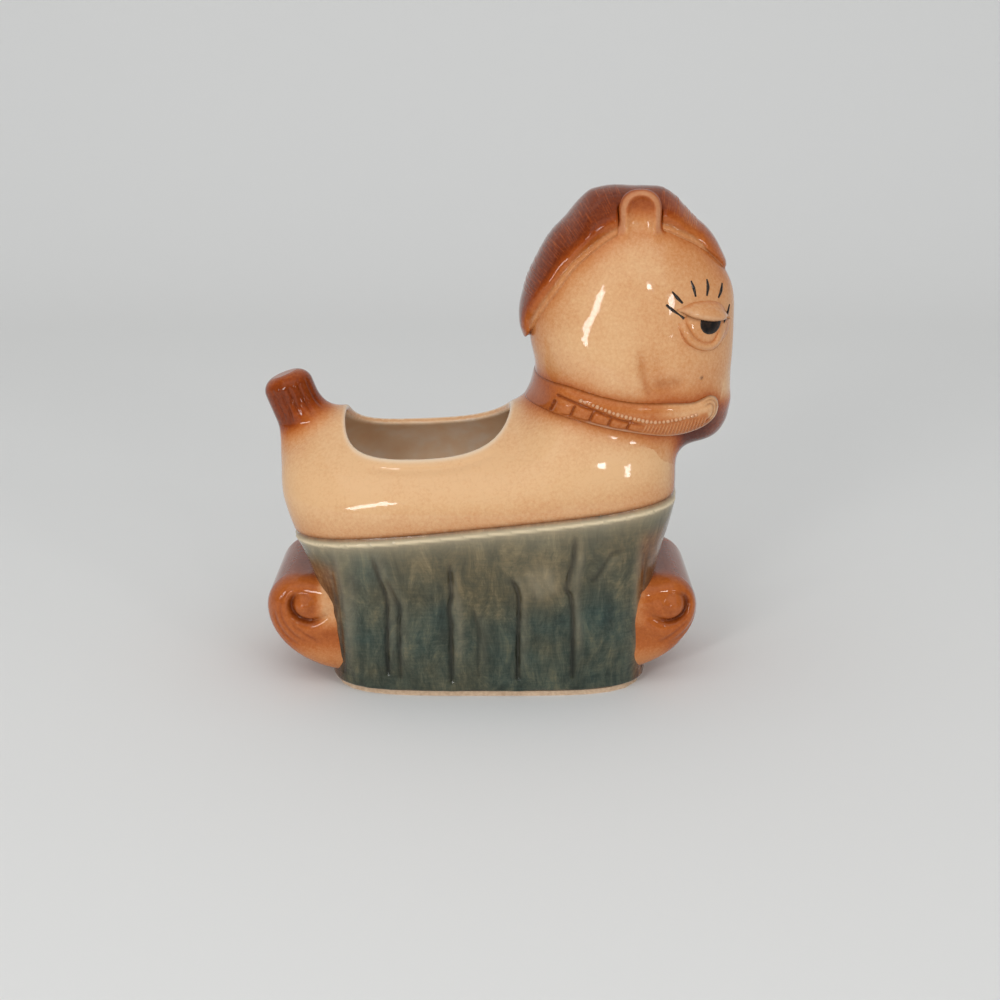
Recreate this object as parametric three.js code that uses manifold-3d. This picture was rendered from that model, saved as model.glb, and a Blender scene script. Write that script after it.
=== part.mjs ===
// Planter pot: a slip-cast toy horse standing in a pleated skirt between two scrolls, with an
// opening along its back for a plant. Millimetres, +Z up, +X towards the horse's face. The origin
// is on the standing surface, under the middle of the piece.
import * as THREE from 'three';
import { mergeVertices } from 'three/addons/utils/BufferGeometryUtils.js';
import Module from 'manifold-3d';

const wasm = await Module();
wasm.setup();

// Casting
const SEAM = 0.3; // slip line left between two neighbouring pieces
const WALL = 3.2; // cast wall
const FLOOR = 5; // height of the pot's floor
const FLOOR_COVE = 4; // rounding between floor and wall inside
const FOOT_WIDTH = 6; // width of the dry ring that the pot stands on
const FOOT_HEIGHT = 1.5;
const FOOT_INSET = 1.2; // how far that ring stands in from the skirt

// Trunk and skirt, which share one outline
const RUMP = -64.5; // rearmost point of the trunk
const CHEST = 55.9; // foremost point of the trunk
const HALF_WIDTH = 35; // half of the trunk's greatest width
const BACK_HEIGHT = 83.4; // height of the back behind the opening
const SHOULDER_RISE = 18; // how much higher the trunk goes under the head
const SHOULDER_LENGTH = 28; // length over which it rises
const SHOULDER_LEAD = 8.8; // how far behind the head that starts

// Skirt
const SKIRT_HEIGHT = 54.4; // height of its upper edge at mid-length
const SKIRT_SLOPE = 0.108; // rise of that edge towards the head, per millimetre
const HEM_ROLL = 0.9; // how far that edge stands proud
const FOLD_DEPTH = 1.5; // pleat grooves
const FOLD_WIDTH = 5;
const FOLDS = [0.278, 0.44, 0.598, 0.743]; // where the grooves run, as shares of the trunk's length

// Opening for the plant, cut down through the back
const MOUTH_FROM_RUMP = 20;
const MOUTH_FROM_HEAD = 4.8;
const MOUTH_DEPTH = 11.2; // from the back down to the lowest point of the rim

// Neck, through which the casting is hollow
const NECK_SETBACK = 24.2; // from the back of the head to the middle of the neck
const NECK_BORE = 22;

// Head, without mane
const HEAD_LENGTH = 61.8;
const HEAD_HEIGHT = 73.8;
const HEAD_HALF_WIDTH = 27.3;
const HEAD_OVERHANG = 16.7; // in front of the chest
const CHIN_DROP = 10.2; // below the level of the back

// Trim in relief
const MANE_RISE = 2.5;
const FORELOCK_TIP_RISE = 3.1; // how proud the forelock is at its lower end
const FORELOCK_TIP_LENGTH = 16; // length over which it swells to that
const FORELOCK_END = 50.9; // height of that end above the chin
const FORELOCK_TUCK = 6.5; // height over which it is rounded off there
const MANE_LENGTH = 31.9; // from the back of the head to the ears, where the forelock starts
const REIN_RISE = 2;
const REIN_WIDTH = 8.6;
const EAR_WIDTH = 12;
const EAR_DEPTH = 8.5;
const EAR_HEIGHT = 17;
const EAR_RISE = 1.2; // above the crown
const EAR_SPREAD = 12.8; // from the middle plane to the middle of an ear
const EAR_HOLLOW = 2.6; // depth of the scoop in an ear
const EAR_SCOOP = 8.6; // length of that scoop
const EAR_RIM = 1.9; // wall left around that scoop

// Tail
const TAIL_INSET = 8.9; // root of its axis, in front of the rump
const TAIL_DROP = 11.4; // and below the back
const TAIL_LEAN = 21; // degrees backwards
const TAIL_LENGTH = 22.6;
const TAIL_RADIUS = 7.5;
const TAIL_FLARE = 1.4; // how much wider its root is
const TAIL_FLUTES = 9;
const FLUTE_DEPTH = 0.5;

// Scrolls: rolls across both ends of the skirt, with a spiral on each face
const REAR_SCROLL_REACH = 3.9; // past the rump
const FRONT_SCROLL_REACH = 6.9; // past the chest
const SCROLL_RADIUS = 10;
const SCROLL_TOP = 34.8;
const SCROLL_STEM = 3; // height at which the stem of the roll meets the skirt
const SCROLL_HALF_WIDTH = 25;
const SCROLL_EDGE = 3; // rounding of a face's edge
const SCROLL_TURNS = 1.75;
const SCROLL_GROOVE = 1.6;

// Eyes
const EYE_INSET = 10.6; // behind the front of the face
const EYE_RISE = 37.4; // above the chin
const EYE_LENGTH = 16;
const EYE_TALL = 12.6;
const EYE_BULGE = 1.7;
const LID_RISE = 0.9; // upper lid above the eyeball
const LID_EDGE = 1.6; // height of the lid's edge above the middle of the eye
const PUPIL_RADIUS = 3.7;
const PUPIL_RISE = 0.5;
const LOWER_LID_RADIUS = 0.8;

// Facets
const AROUND_TRUNK = 44;
const AROUND_HEAD = 36;
const AROUND_INSIDE = 24;
const AROUND_SCROLL = 36;

// Levels of the trunk and skirt: height, rear end, front end and half width, each as a share of the
// sizes above, then how square the plan is at the rear and at the front (2 is an ellipse).
const hullLevels = [
  [0, 0.767, 0.859, 0.891, 4.2, 4.2],
  [0.18, 0.783, 0.869, 0.909, 4.2, 4.2],
  [0.36, 0.837, 0.894, 0.931, 4, 4],
  [0.504, 0.927, 0.93, 0.966, 3.8, 3.9],
  [0.6, 0.98, 0.97, 0.991, 3.5, 3.9],
  [0.695, 1, 0.996, 1, 3.2, 3.9],
  [0.791, 0.995, 1, 0.914, 3, 4],
  [0.863, 0.974, 0.984, 0.757, 2.8, 4.2],
  [0.923, 0.922, 0.93, 0.557, 2.6, 4.2],
  [0.971, 0.837, 0.823, 0.329, 2.5, 4],
  [0.993, 0.713, 0.68, 0.16, 2.5, 4],
  [1, 0.63, 0.6, 0.06, 2.5, 4],
];
const BELLY = 0.695 * BACK_HEIGHT; // the widest level, above which the shoulders rise

// Levels of the head: height from chin to crown, back and front as shares of the head's length, half
// width, and how square the plan is.
const headLevels = [
  [0, 0.634, 0.796, 0.293, 2.2],
  [0.018, 0.553, 0.898, 0.476, 2.3],
  [0.051, 0.44, 0.955, 0.641, 2.3],
  [0.106, 0.214, 0.99, 0.806, 2.3],
  [0.16, 0.09, 0.998, 0.916, 2.4],
  [0.228, 0.066, 0.995, 0.982, 2.4],
  [0.322, 0.045, 0.995, 1, 2.4],
  [0.417, 0.016, 1, 0.974, 2.4],
  [0.526, 0.003, 1, 0.923, 2.3],
  [0.634, 0.032, 0.982, 0.85, 2.3],
  [0.729, 0.081, 0.915, 0.769, 2.2],
  [0.824, 0.149, 0.85, 0.645, 2.2],
  [0.905, 0.238, 0.755, 0.495, 2.1],
  [0.966, 0.335, 0.659, 0.311, 2],
  [0.995, 0.424, 0.586, 0.147, 2],
  [1, 0.47, 0.54, 0.05, 2],
];
const HEAD_TAPER = 0.14; // how much narrower the face is than the cheeks

// Lower edge of mane and forelock, and middle line of the rein, as shares of the head's length and
// height.
const maneEdge = [
  [-0.2, 0.395], [0.01, 0.473], [0.142, 0.634], [0.264, 0.786], [0.4, 0.878],
  [0.516, 0.892], [0.615, 0.885], [0.777, 0.82], [0.905, 0.74], [1.2, 0.65],
];
const reinLine = [
  [-0.3, 0.265], [0.03, 0.25], [0.197, 0.223], [0.337, 0.196], [0.523, 0.167],
  [0.665, 0.164], [0.79, 0.178], [0.885, 0.207],
];

const headFront = CHEST + HEAD_OVERHANG;
const headBack = headFront - HEAD_LENGTH;
const chinHeight = BACK_HEIGHT - CHIN_DROP;
const headTop = chinHeight + HEAD_HEIGHT;
const maneSplit = headBack + MANE_LENGTH;
const skirtLine = (x) => SKIRT_HEIGHT + SKIRT_SLOPE * x;
const onHead = ([along, up]) =>
  new THREE.Vector2(headBack + along * HEAD_LENGTH, chinHeight + up * HEAD_HEIGHT);

// Slope of a column of levels at row i, kept from overshooting.
function slopeAt(levels, column, i) {
  const rise = (j) => (levels[j + 1][column] - levels[j][column]) / (levels[j + 1][0] - levels[j][0]);
  if (i === 0) return rise(0);
  if (i === levels.length - 1) return rise(i - 1);
  const below = rise(i - 1);
  const above = rise(i);
  return below * above <= 0 ? 0 : 2 / (1 / below + 1 / above);
}

// Smooth value of a column of levels at a height.
function through(levels, column, height) {
  const last = levels.length - 2;
  let i = 0;
  while (i < last && height > levels[i + 1][0]) i += 1;
  const span = levels[i + 1][0] - levels[i][0];
  const t = THREE.MathUtils.clamp((height - levels[i][0]) / span, 0, 1);
  const from = levels[i][column];
  const to = levels[i + 1][column];
  const leave = slopeAt(levels, column, i) * span;
  const arrive = slopeAt(levels, column, i + 1) * span;
  return from + t * (leave + t * (3 * (to - from) - 2 * leave - arrive
    + t * (leave + arrive - 2 * (to - from))));
}

function hullPlan(z) {
  const share = z / BACK_HEIGHT;
  return {
    rear: RUMP * through(hullLevels, 1, share),
    front: CHEST * through(hullLevels, 2, share),
    half: HALF_WIDTH * through(hullLevels, 3, share),
    power: through(hullLevels, 4, share),
    frontPower: through(hullLevels, 5, share),
    taper: 0,
  };
}

function headPlan(z) {
  const share = (z - chinHeight) / HEAD_HEIGHT;
  return {
    rear: headBack + HEAD_LENGTH * through(headLevels, 1, share),
    front: headBack + HEAD_LENGTH * through(headLevels, 2, share),
    half: HEAD_HALF_WIDTH * through(headLevels, 3, share),
    power: through(headLevels, 4, share),
    frontPower: through(headLevels, 4, share),
    taper: HEAD_TAPER,
  };
}

const inset = (plan, by) => ({
  ...plan,
  rear: plan.rear + by,
  front: plan.front - by,
  half: Math.max(plan.half - by, SEAM),
});

// A point of a rounded plan, at an angle from its front.
function planPoint(plan, angle) {
  const power = Math.cos(angle) > 0 ? plan.frontPower : plan.power;
  const round = (v) => Math.sign(v) * Math.abs(v) ** (2 / power);
  const along = round(Math.cos(angle));
  const across = round(Math.sin(angle));
  const x = (plan.front + plan.rear) / 2 + (along * (plan.front - plan.rear)) / 2;
  return new THREE.Vector2(x, across * plan.half * (1 - plan.taper * Math.max(0, along)));
}

const evenAngles = (count) => Array.from({ length: count }, (_, i) => (i / count) * 2 * Math.PI);

// Angles that space their points evenly along a plan, the same on both sides.
function spreadAngles(plan, count) {
  const fine = Array.from({ length: 361 }, (_, i) => (i / 360) * Math.PI);
  const lengths = [0];
  for (let i = 1; i < fine.length; i += 1) {
    const step = planPoint(plan, fine[i]).distanceTo(planPoint(plan, fine[i - 1]));
    lengths.push(lengths[i - 1] + step);
  }
  const left = [];
  for (let j = 1; j < count / 2; j += 1) {
    const wanted = (lengths.at(-1) * 2 * j) / count;
    left.push(fine[lengths.findIndex((length) => length >= wanted)]);
  }
  const right = left.map((angle) => 2 * Math.PI - angle).reverse();
  return [0, ...left, Math.PI, ...right];
}

function planRing(plan, z, angles) {
  return angles.map((angle) => {
    const p = planPoint(plan, angle);
    return new THREE.Vector3(p.x, p.y, z);
  });
}

// Closed skin over a stack of rings with the same even number of points each.
function loft(rings) {
  const around = rings[0].length;
  const points = rings.flat();
  const index = [];
  for (let i = 0; i + 1 < rings.length; i += 1) {
    for (let j = 0; j < around; j += 1) {
      const a = i * around + j;
      const b = i * around + ((j + 1) % around);
      index.push(a, b, b + around, a, b + around, a + around);
    }
  }
  const top = (rings.length - 1) * around;
  for (let j = 0; j < around / 2; j += 1) {
    const corners = [j, j + 1, (around - j - 1) % around, (around - j) % around];
    const [a, b, c, d] = corners;
    if (b !== c) index.push(c, b, a, top + a, top + b, top + c);
    if (a !== d) index.push(d, c, a, top + a, top + c, top + d);
  }
  const geometry = new THREE.BufferGeometry().setFromPoints(points);
  geometry.setIndex(index);
  return geometry;
}

// The same skin moved outwards by a distance that may change from place to place.
function swell(geometry, distanceAt) {
  const grown = geometry.clone();
  grown.computeVertexNormals();
  const position = grown.getAttribute('position');
  const normal = grown.getAttribute('normal');
  for (let i = 0; i < position.count; i += 1) {
    const p = new THREE.Vector3().fromBufferAttribute(position, i);
    p.addScaledVector(new THREE.Vector3().fromBufferAttribute(normal, i), distanceAt(p));
    position.setXYZ(i, p.x, p.y, p.z);
  }
  grown.deleteAttribute('normal');
  return grown;
}

// The same skin moved outwards by one distance, or inwards by a negative one.
const inflate = (geometry, distance) => swell(geometry, () => distance);

function closed(geometry) {
  const bare = geometry.clone();
  bare.deleteAttribute('normal');
  bare.deleteAttribute('uv');
  return mergeVertices(bare, 1e-4);
}

function solid(geometry) {
  const bare = closed(geometry);
  return new wasm.Manifold(new wasm.Mesh({
    numProp: 3,
    vertProperties: Float32Array.from(bare.getAttribute('position').array),
    triVerts: Uint32Array.from(bare.index.array),
  }));
}

function geometryOf(body) {
  const mesh = body.getMesh();
  const geometry = new THREE.BufferGeometry();
  geometry.setAttribute('position', new THREE.BufferAttribute(mesh.vertProperties, 3));
  geometry.setIndex(new THREE.BufferAttribute(mesh.triVerts, 1));
  return geometry.toNonIndexed();
}

// A side-view outline (X along, Z up) carried right across the piece.
function across(shape, halfWidth) {
  const geometry = new THREE.ExtrudeGeometry(shape, {
    depth: 2 * halfWidth,
    bevelEnabled: false,
    curveSegments: 10,
  });
  return geometry.rotateX(Math.PI / 2).translate(0, halfWidth, 0);
}

const mirrored = (geometry) => {
  const other = geometry.clone();
  other.scale(1, -1, 1);
  const index = other.index.array;
  for (let i = 0; i < index.length; i += 3) [index[i], index[i + 1]] = [index[i + 1], index[i]];
  return other;
};

// Trunk and skirt

const shoulderLift = (x) => {
  const start = headBack - SHOULDER_LEAD;
  return SHOULDER_RISE * THREE.MathUtils.smoothstep(x, start, start + SHOULDER_LENGTH);
};

// Height of the trunk's crest, under a wall, before the opening is cut.
const crest = (x, wall) => BACK_HEIGHT - wall + shoulderLift(x);

// Height in the table of levels that belongs to a height on the trunk.
function levelHeight(x, z, wall) {
  const rise = (BACK_HEIGHT - BELLY) / (crest(x, wall) - BELLY);
  return z < BELLY ? z : BELLY + (z - BELLY) * rise;
}

// Ring around the trunk, set in by a wall, whose height may change along X.
function trunkRing(heightAt, wall, angles) {
  return angles.map((angle) => {
    let p = new THREE.Vector2();
    let z = 0;
    for (let pass = 0; pass < 6; pass += 1) {
      z = heightAt(p.x);
      p = planPoint(inset(hullPlan(levelHeight(p.x, z, wall)), wall), angle);
    }
    return new THREE.Vector3(p.x, p.y, z);
  });
}

const trunkAngles = (count) => spreadAngles(hullPlan(BELLY), count);

function trunkSkin() {
  const steps = [0, 0.12, 0.27, 0.42, 0.56, 0.69, 0.8, 0.89, 0.95, 0.985, 1];
  const angles = trunkAngles(AROUND_TRUNK);
  return loft(steps.map((t) => trunkRing(
    (x) => THREE.MathUtils.lerp(skirtLine(x) + SEAM, crest(x, 0), t), 0, angles)));
}

function potCavity() {
  const steps = [0, 0.25, 0.45, 0.6, 0.72, 0.82, 0.9, 0.95, 0.98];
  const angles = trunkAngles(AROUND_INSIDE);
  const floor = planRing(inset(hullPlan(FLOOR), WALL + FLOOR_COVE), FLOOR, angles);
  const cove = FLOOR + FLOOR_COVE / 2;
  return loft([floor, ...steps.map((t) => trunkRing(
    (x) => THREE.MathUtils.lerp(cove, crest(x, WALL), t), WALL, angles))]);
}

function mouthCut() {
  const above = 2 * BACK_HEIGHT;
  const rear = RUMP + MOUTH_FROM_RUMP;
  const front = headBack - MOUTH_FROM_HEAD;
  const run = front - rear;
  const dip = BACK_HEIGHT - MOUTH_DEPTH;
  const rim = new THREE.Shape();
  rim.moveTo(rear, above);
  rim.lineTo(rear, BACK_HEIGHT);
  rim.bezierCurveTo(
    rear, dip + 0.36 * MOUTH_DEPTH, rear + 0.1 * run, dip, rear + 0.34 * run, dip);
  rim.bezierCurveTo(
    rear + 0.6 * run, dip + 0.05 * MOUTH_DEPTH, rear + 0.9 * run, dip + 0.18 * MOUTH_DEPTH,
    front, BACK_HEIGHT + 0.1 * MOUTH_DEPTH);
  rim.lineTo(front, above);
  return across(rim, 2 * HALF_WIDTH);
}

function skirtSkin() {
  const middle = hullPlan(SKIRT_HEIGHT / 2);
  const halfLength = (middle.front - middle.rear) / 2;
  const angleAt = (x) => {
    const along = (x - (middle.front + middle.rear) / 2) / halfLength;
    return Math.acos(Math.sign(along) * Math.abs(along) ** (middle.power / 2));
  };
  const grooves = FOLDS.flatMap((share) => {
    const x = THREE.MathUtils.lerp(RUMP, CHEST, share);
    const edge = FOLD_WIDTH / 2;
    return [[angleAt(x - edge), 0], [angleAt(x), 1], [angleAt(x + edge), 0]];
  });
  const plain = trunkAngles(AROUND_TRUNK)
    .filter((angle) => angle <= Math.PI)
    .filter((angle) => grooves.every(([groove]) => Math.abs(groove - angle) > 0.06))
    .map((angle) => [angle, 0]);
  const near = [...plain, ...grooves].sort((a, b) => a[0] - b[0]);
  const far = near.filter(([angle]) => angle > 0.01 && angle < Math.PI - 0.01)
    .map(([angle, groove]) => [2 * Math.PI - angle, groove]).reverse();
  const stops = [...near, ...far];
  const steps = [0, 0.14, 0.32, 0.52, 0.72, 0.86, 0.93, 1];
  return loft(steps.map((t) => {
    const fade = THREE.MathUtils.clamp((0.93 - t) / 0.35, 0, 1);
    const roll = t > 0.92 ? HEM_ROLL : 0;
    const angles = stops.map(([angle]) => angle);
    const height = (x) => THREE.MathUtils.lerp(FOOT_HEIGHT + SEAM, skirtLine(x), t);
    return trunkRing(height, 0, angles).map((p, i) => {
      p.y += Math.sign(p.y) * (roll - FOLD_DEPTH * stops[i][1] * fade);
      p.x += Math.cos(angles[i]) * roll;
      return p;
    });
  }));
}

// Plate of the foot's height, set in from the foot of the skirt.
function footPlate(by, rise) {
  const plan = inset(hullPlan(0), by);
  const angles = trunkAngles(AROUND_TRUNK);
  return loft([planRing(plan, -rise, angles), planRing(plan, FOOT_HEIGHT + rise, angles)]);
}

// Head

function headSkin(around = AROUND_HEAD, steps = 17) {
  const angles = spreadAngles(headPlan((chinHeight + headTop) / 2), around);
  const rings = Array.from({ length: steps }, (_, i) => {
    const t = i / (steps - 1);
    const z = chinHeight + HEAD_HEIGHT * (0.5 - 0.5 * Math.cos(Math.PI * t));
    return planRing(headPlan(z), z, angles);
  });
  return loft(rings);
}

function neckBore() {
  const tall = HEAD_HEIGHT;
  const bore = new THREE.CylinderGeometry(NECK_BORE / 2, NECK_BORE / 2, tall, AROUND_INSIDE);
  return bore.rotateX(Math.PI / 2).translate(headBack + NECK_SETBACK, 0, chinHeight);
}

// Side-view band along a curve, with a round end, whose width grows over a share of its length.
function band(curve, width, growOver) {
  const count = 20;
  const left = [];
  const right = [];
  for (let i = 0; i <= count; i += 1) {
    const p = curve.getPoint(i / count);
    const along = curve.getTangent(i / count);
    const grown = THREE.MathUtils.clamp(i / count / growOver, 0.02, 1);
    const out = new THREE.Vector2(-along.y, along.x).multiplyScalar((width * grown) / 2);
    left.push(p.clone().add(out));
    right.unshift(p.clone().sub(out));
  }
  const end = curve.getPoint(1).addScaledVector(curve.getTangent(1), width * 0.35);
  return new THREE.Shape([...left, end, ...right]);
}

function maneRegion(keepFrom, keepTo) {
  const edge = new THREE.SplineCurve(maneEdge.map(onHead));
  const points = edge.getPoints(4 * maneEdge.length)
    .filter((p) => p.x > keepFrom && p.x < keepTo);
  const level = (x) => {
    const i = points.findIndex((p) => p.x > x);
    return (i < 0 ? points.at(-1) : points[i]).y;
  };
  const sky = headTop + HEAD_HEIGHT;
  return new THREE.Shape([
    new THREE.Vector2(keepFrom, sky), new THREE.Vector2(keepFrom, level(keepFrom)),
    ...points, new THREE.Vector2(keepTo, points.at(-1).y), new THREE.Vector2(keepTo, sky),
  ]);
}

// Ear of the horse's left side: a thumb with a scoop that faces outwards.
function earSkins() {
  const thumb = (width, depth, height) => {
    const steps = [0, 0.04, 0.13, 0.3, 0.5, 0.7, 0.85, 0.94, 0.985, 1];
    return loft(steps.map((t) => {
      const swell = Math.max(0.08, (1 - Math.abs(2 * t - 1) ** 2.6) ** (1 / 2.6));
      return evenAngles(16).map((a) => new THREE.Vector3(
        (Math.cos(a) * swell * width) / 2, (Math.sin(a) * swell * depth) / 2, (t - 1) * height));
    }));
  };
  const outer = thumb(EAR_WIDTH, EAR_DEPTH, EAR_HEIGHT);
  const scoop = thumb(EAR_WIDTH - 2 * EAR_RIM, 2 * EAR_HOLLOW, EAR_SCOOP);
  scoop.translate(0, EAR_DEPTH / 2, -EAR_RIM);
  return [outer, scoop].map((g) => g.rotateX(THREE.MathUtils.degToRad(6))
    .translate(maneSplit, EAR_SPREAD, headTop + EAR_RISE));
}

// Eye of the horse's left side, made in a frame whose third axis stands off the face.
function eyeFrame() {
  const surface = (x, z) => {
    const plan = headPlan(z);
    const along = (x - (plan.front + plan.rear) / 2) / ((plan.front - plan.rear) / 2);
    const y = plan.half * (1 - Math.abs(along) ** plan.power) ** (1 / plan.power);
    return new THREE.Vector3(x, y * (1 - plan.taper * Math.max(0, along)), z);
  };
  const x = headFront - EYE_INSET;
  const z = chinHeight + EYE_RISE;
  const step = EYE_TALL / 12;
  const here = surface(x, z);
  const along = surface(x - step, z).sub(surface(x + step, z)).normalize();
  const up = surface(x, z + step).sub(surface(x, z - step)).normalize();
  const out = new THREE.Vector3().crossVectors(along, up).normalize();
  const level = new THREE.Vector3().crossVectors(out, along);
  return new THREE.Matrix4().makeBasis(along, level, out).setPosition(here);
}

function eyeball(grow) {
  const ball = new THREE.SphereGeometry(1, 14, 8);
  ball.scale(EYE_LENGTH / 2 + grow, EYE_TALL / 2 + grow, EYE_BULGE + grow);
  return ball.applyMatrix4(eyeFrame());
}

// Block over the part of the eye above or below the lid's edge.
function lidBlock(low, high) {
  const block = new THREE.BoxGeometry(2 * EYE_LENGTH, high - low, 4 * EYE_TALL);
  return block.translate(0, (low + high) / 2, 0).applyMatrix4(eyeFrame());
}

function pupilDisc() {
  const disc = new THREE.CylinderGeometry(PUPIL_RADIUS, PUPIL_RADIUS, 4 * EYE_BULGE, 20);
  return disc.rotateX(Math.PI / 2).translate(0, LID_EDGE, 2 * EYE_BULGE).applyMatrix4(eyeFrame());
}

function lowerLidRoll() {
  const points = Array.from({ length: 9 }, (_, i) => {
    const angle = Math.PI * (1.04 + (0.92 * i) / 8);
    return new THREE.Vector3(
      Math.cos(angle) * (EYE_LENGTH / 2 + SEAM), Math.sin(angle) * (EYE_TALL / 2 + SEAM), 0);
  });
  const section = new THREE.Shape().absarc(0, 0, LOWER_LID_RADIUS, 0, 2 * Math.PI);
  const roll = new THREE.ExtrudeGeometry(section, {
    steps: 10,
    curveSegments: 3,
    extrudePath: new THREE.CatmullRomCurve3(points),
    bevelEnabled: false,
  });
  return roll.applyMatrix4(eyeFrame());
}

// Tail

function tailSkin() {
  const levels = [
    [0, TAIL_RADIUS + TAIL_FLARE], [0.22, TAIL_RADIUS + TAIL_FLARE * 0.75],
    [0.42, TAIL_RADIUS + TAIL_FLARE * 0.22], [0.6, TAIL_RADIUS], [0.78, TAIL_RADIUS * 0.99],
    [0.89, TAIL_RADIUS * 0.9], [0.96, TAIL_RADIUS * 0.68], [0.99, TAIL_RADIUS * 0.38],
    [1, TAIL_RADIUS * 0.12],
  ];
  const rings = levels.map(([t, radius]) => evenAngles(4 * TAIL_FLUTES).map((angle) => {
    const flute = (FLUTE_DEPTH * (Math.cos(TAIL_FLUTES * angle) - 1)) / 2;
    const r = radius + flute * THREE.MathUtils.smoothstep(t, 0.3, 0.6) * (radius / TAIL_RADIUS);
    return new THREE.Vector3(r * Math.cos(angle), r * Math.sin(angle), t * TAIL_LENGTH);
  }));
  return loft(rings).rotateY(THREE.MathUtils.degToRad(-TAIL_LEAN))
    .translate(RUMP + TAIL_INSET, 0, BACK_HEIGHT - TAIL_DROP);
}

// Scrolls

// Roll at one end of the skirt, built of side-view outlines that shrink about the knob of the spiral
// on each face, where the groove of the spiral is pressed in.
function scrollSkin(end, side) {
  const middle = new THREE.Vector2(end - side * SCROLL_RADIUS, SCROLL_TOP - SCROLL_RADIUS);
  const inner = end - side * 3 * SCROLL_RADIUS;
  const outline = new THREE.Shape();
  outline.moveTo(inner, SCROLL_STEM);
  outline.bezierCurveTo(
    middle.x, SCROLL_STEM, end, middle.y - SCROLL_RADIUS, end, middle.y);
  outline.absarc(middle.x, middle.y, SCROLL_RADIUS, side > 0 ? 0 : Math.PI, Math.PI / 2, side < 0);
  outline.lineTo(inner, SCROLL_TOP);
  outline.closePath();
  const rim = outline.getSpacedPoints(AROUND_SCROLL).slice(0, AROUND_SCROLL);
  if (THREE.ShapeUtils.isClockWise(rim)) rim.reverse();
  const knob = new THREE.Vector2(middle.x - side * 0.18 * SCROLL_RADIUS, middle.y);
  const ring = (share, fromFace, face) => rim.map((p) => {
    const spoke = p.clone().sub(knob);
    const turn = (side * spoke.angle()) / (2 * Math.PI);
    const phase = THREE.MathUtils.euclideanModulo(turn + SCROLL_TURNS * share, 1) - 0.5;
    const fade = THREE.MathUtils.smoothstep(1 - share, 0.08, 0.25)
      * THREE.MathUtils.smoothstep(share, 0.1, 0.4);
    const groove = SCROLL_GROOVE * fade * Math.exp(-((phase / 0.17) ** 2));
    const at = spoke.multiplyScalar(share).add(knob);
    return new THREE.Vector3(at.x, face * (SCROLL_HALF_WIDTH - fromFace - groove), at.y);
  });
  const edge = 1 - SCROLL_EDGE / (2 * SCROLL_RADIUS);
  const faceRings = [
    [0.06, 0], [0.2, 0], [0.34, 0], [0.48, 0], [0.62, 0], [0.74, 0], [edge, 0.1 * SCROLL_EDGE],
    [(1 + 2 * edge) / 3, 0.3 * SCROLL_EDGE], [1, SCROLL_EDGE],
  ];
  const far = faceRings.map(([share, fromFace]) => ring(share, fromFace, 1));
  const near = faceRings.map(([share, fromFace]) => ring(share, fromFace, -1));
  return loft([...far, ...near.reverse()]);
}

// Pieces

const trunk = trunkSkin();
const head = headSkin();
const clearOfTrunk = solid(inflate(trunk, SEAM));
const clearOfHead = solid(inflate(head, SEAM));
const cavity = solid(potCavity());
const bore = solid(neckBore());

const skirt = skirtSkin();
const skirtPot = solid(skirt).subtract(cavity);
const footRing = solid(footPlate(FOOT_INSET, 0))
  .subtract(solid(footPlate(FOOT_INSET + FOOT_WIDTH, SEAM)));
const bodyShell = solid(trunk)
  .subtract(clearOfHead)
  .subtract(cavity)
  .subtract(solid(mouthCut()));
const headShell = solid(head)
  .subtract(solid(inflate(headSkin(AROUND_INSIDE, 11), -WALL)))
  .subtract(bore);

const [earOuter, earScoop] = earSkins();
const ear = solid(earOuter).subtract(solid(earScoop)).subtract(clearOfHead);
const clearOfEars = solid(inflate(earOuter, SEAM)).add(solid(inflate(mirrored(earOuter), SEAM)));
const hairRise = (p) => {
  if (p.x < maneSplit) return MANE_RISE;
  const start = headFront - FORELOCK_TIP_LENGTH;
  const tip = THREE.MathUtils.smoothstep(p.x, start, start + 0.75 * FORELOCK_TIP_LENGTH);
  const end = chinHeight + FORELOCK_END;
  const tuck = THREE.MathUtils.smoothstep(p.z, end, end + FORELOCK_TUCK);
  return Math.max(2 * SEAM, tuck * THREE.MathUtils.lerp(MANE_RISE, FORELOCK_TIP_RISE, tip));
};
const hair = solid(swell(head, hairRise)).subtract(clearOfHead).subtract(clearOfEars);
const wide = 2 * HEAD_HALF_WIDTH;
const mane = hair.intersect(
  solid(across(maneRegion(headBack - HEAD_LENGTH, maneSplit - SEAM / 2), wide)));
const forelock = hair.intersect(
  solid(across(maneRegion(maneSplit + SEAM / 2, headFront + HEAD_LENGTH), wide)));

const reinOn = (skin, line, growOver) => solid(inflate(skin, REIN_RISE + SEAM)).intersect(
  solid(across(band(new THREE.SplineCurve(line.map(onHead)), REIN_WIDTH, growOver), wide)));
const rein = reinOn(head, reinLine, 0.02)
  .add(reinOn(trunk, [[0.09, 0.238], ...reinLine.slice(2)], 0.3))
  .subtract(clearOfHead)
  .subtract(clearOfTrunk);

const tail = solid(tailSkin()).subtract(clearOfTrunk);
const clearOfSkirt = solid(inflate(skirt, SEAM)).add(clearOfTrunk);
const rearScroll = solid(scrollSkin(RUMP - REAR_SCROLL_REACH, -1)).subtract(clearOfSkirt);
const frontScroll = solid(scrollSkin(CHEST + FRONT_SCROLL_REACH, 1)).subtract(clearOfSkirt);

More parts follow.
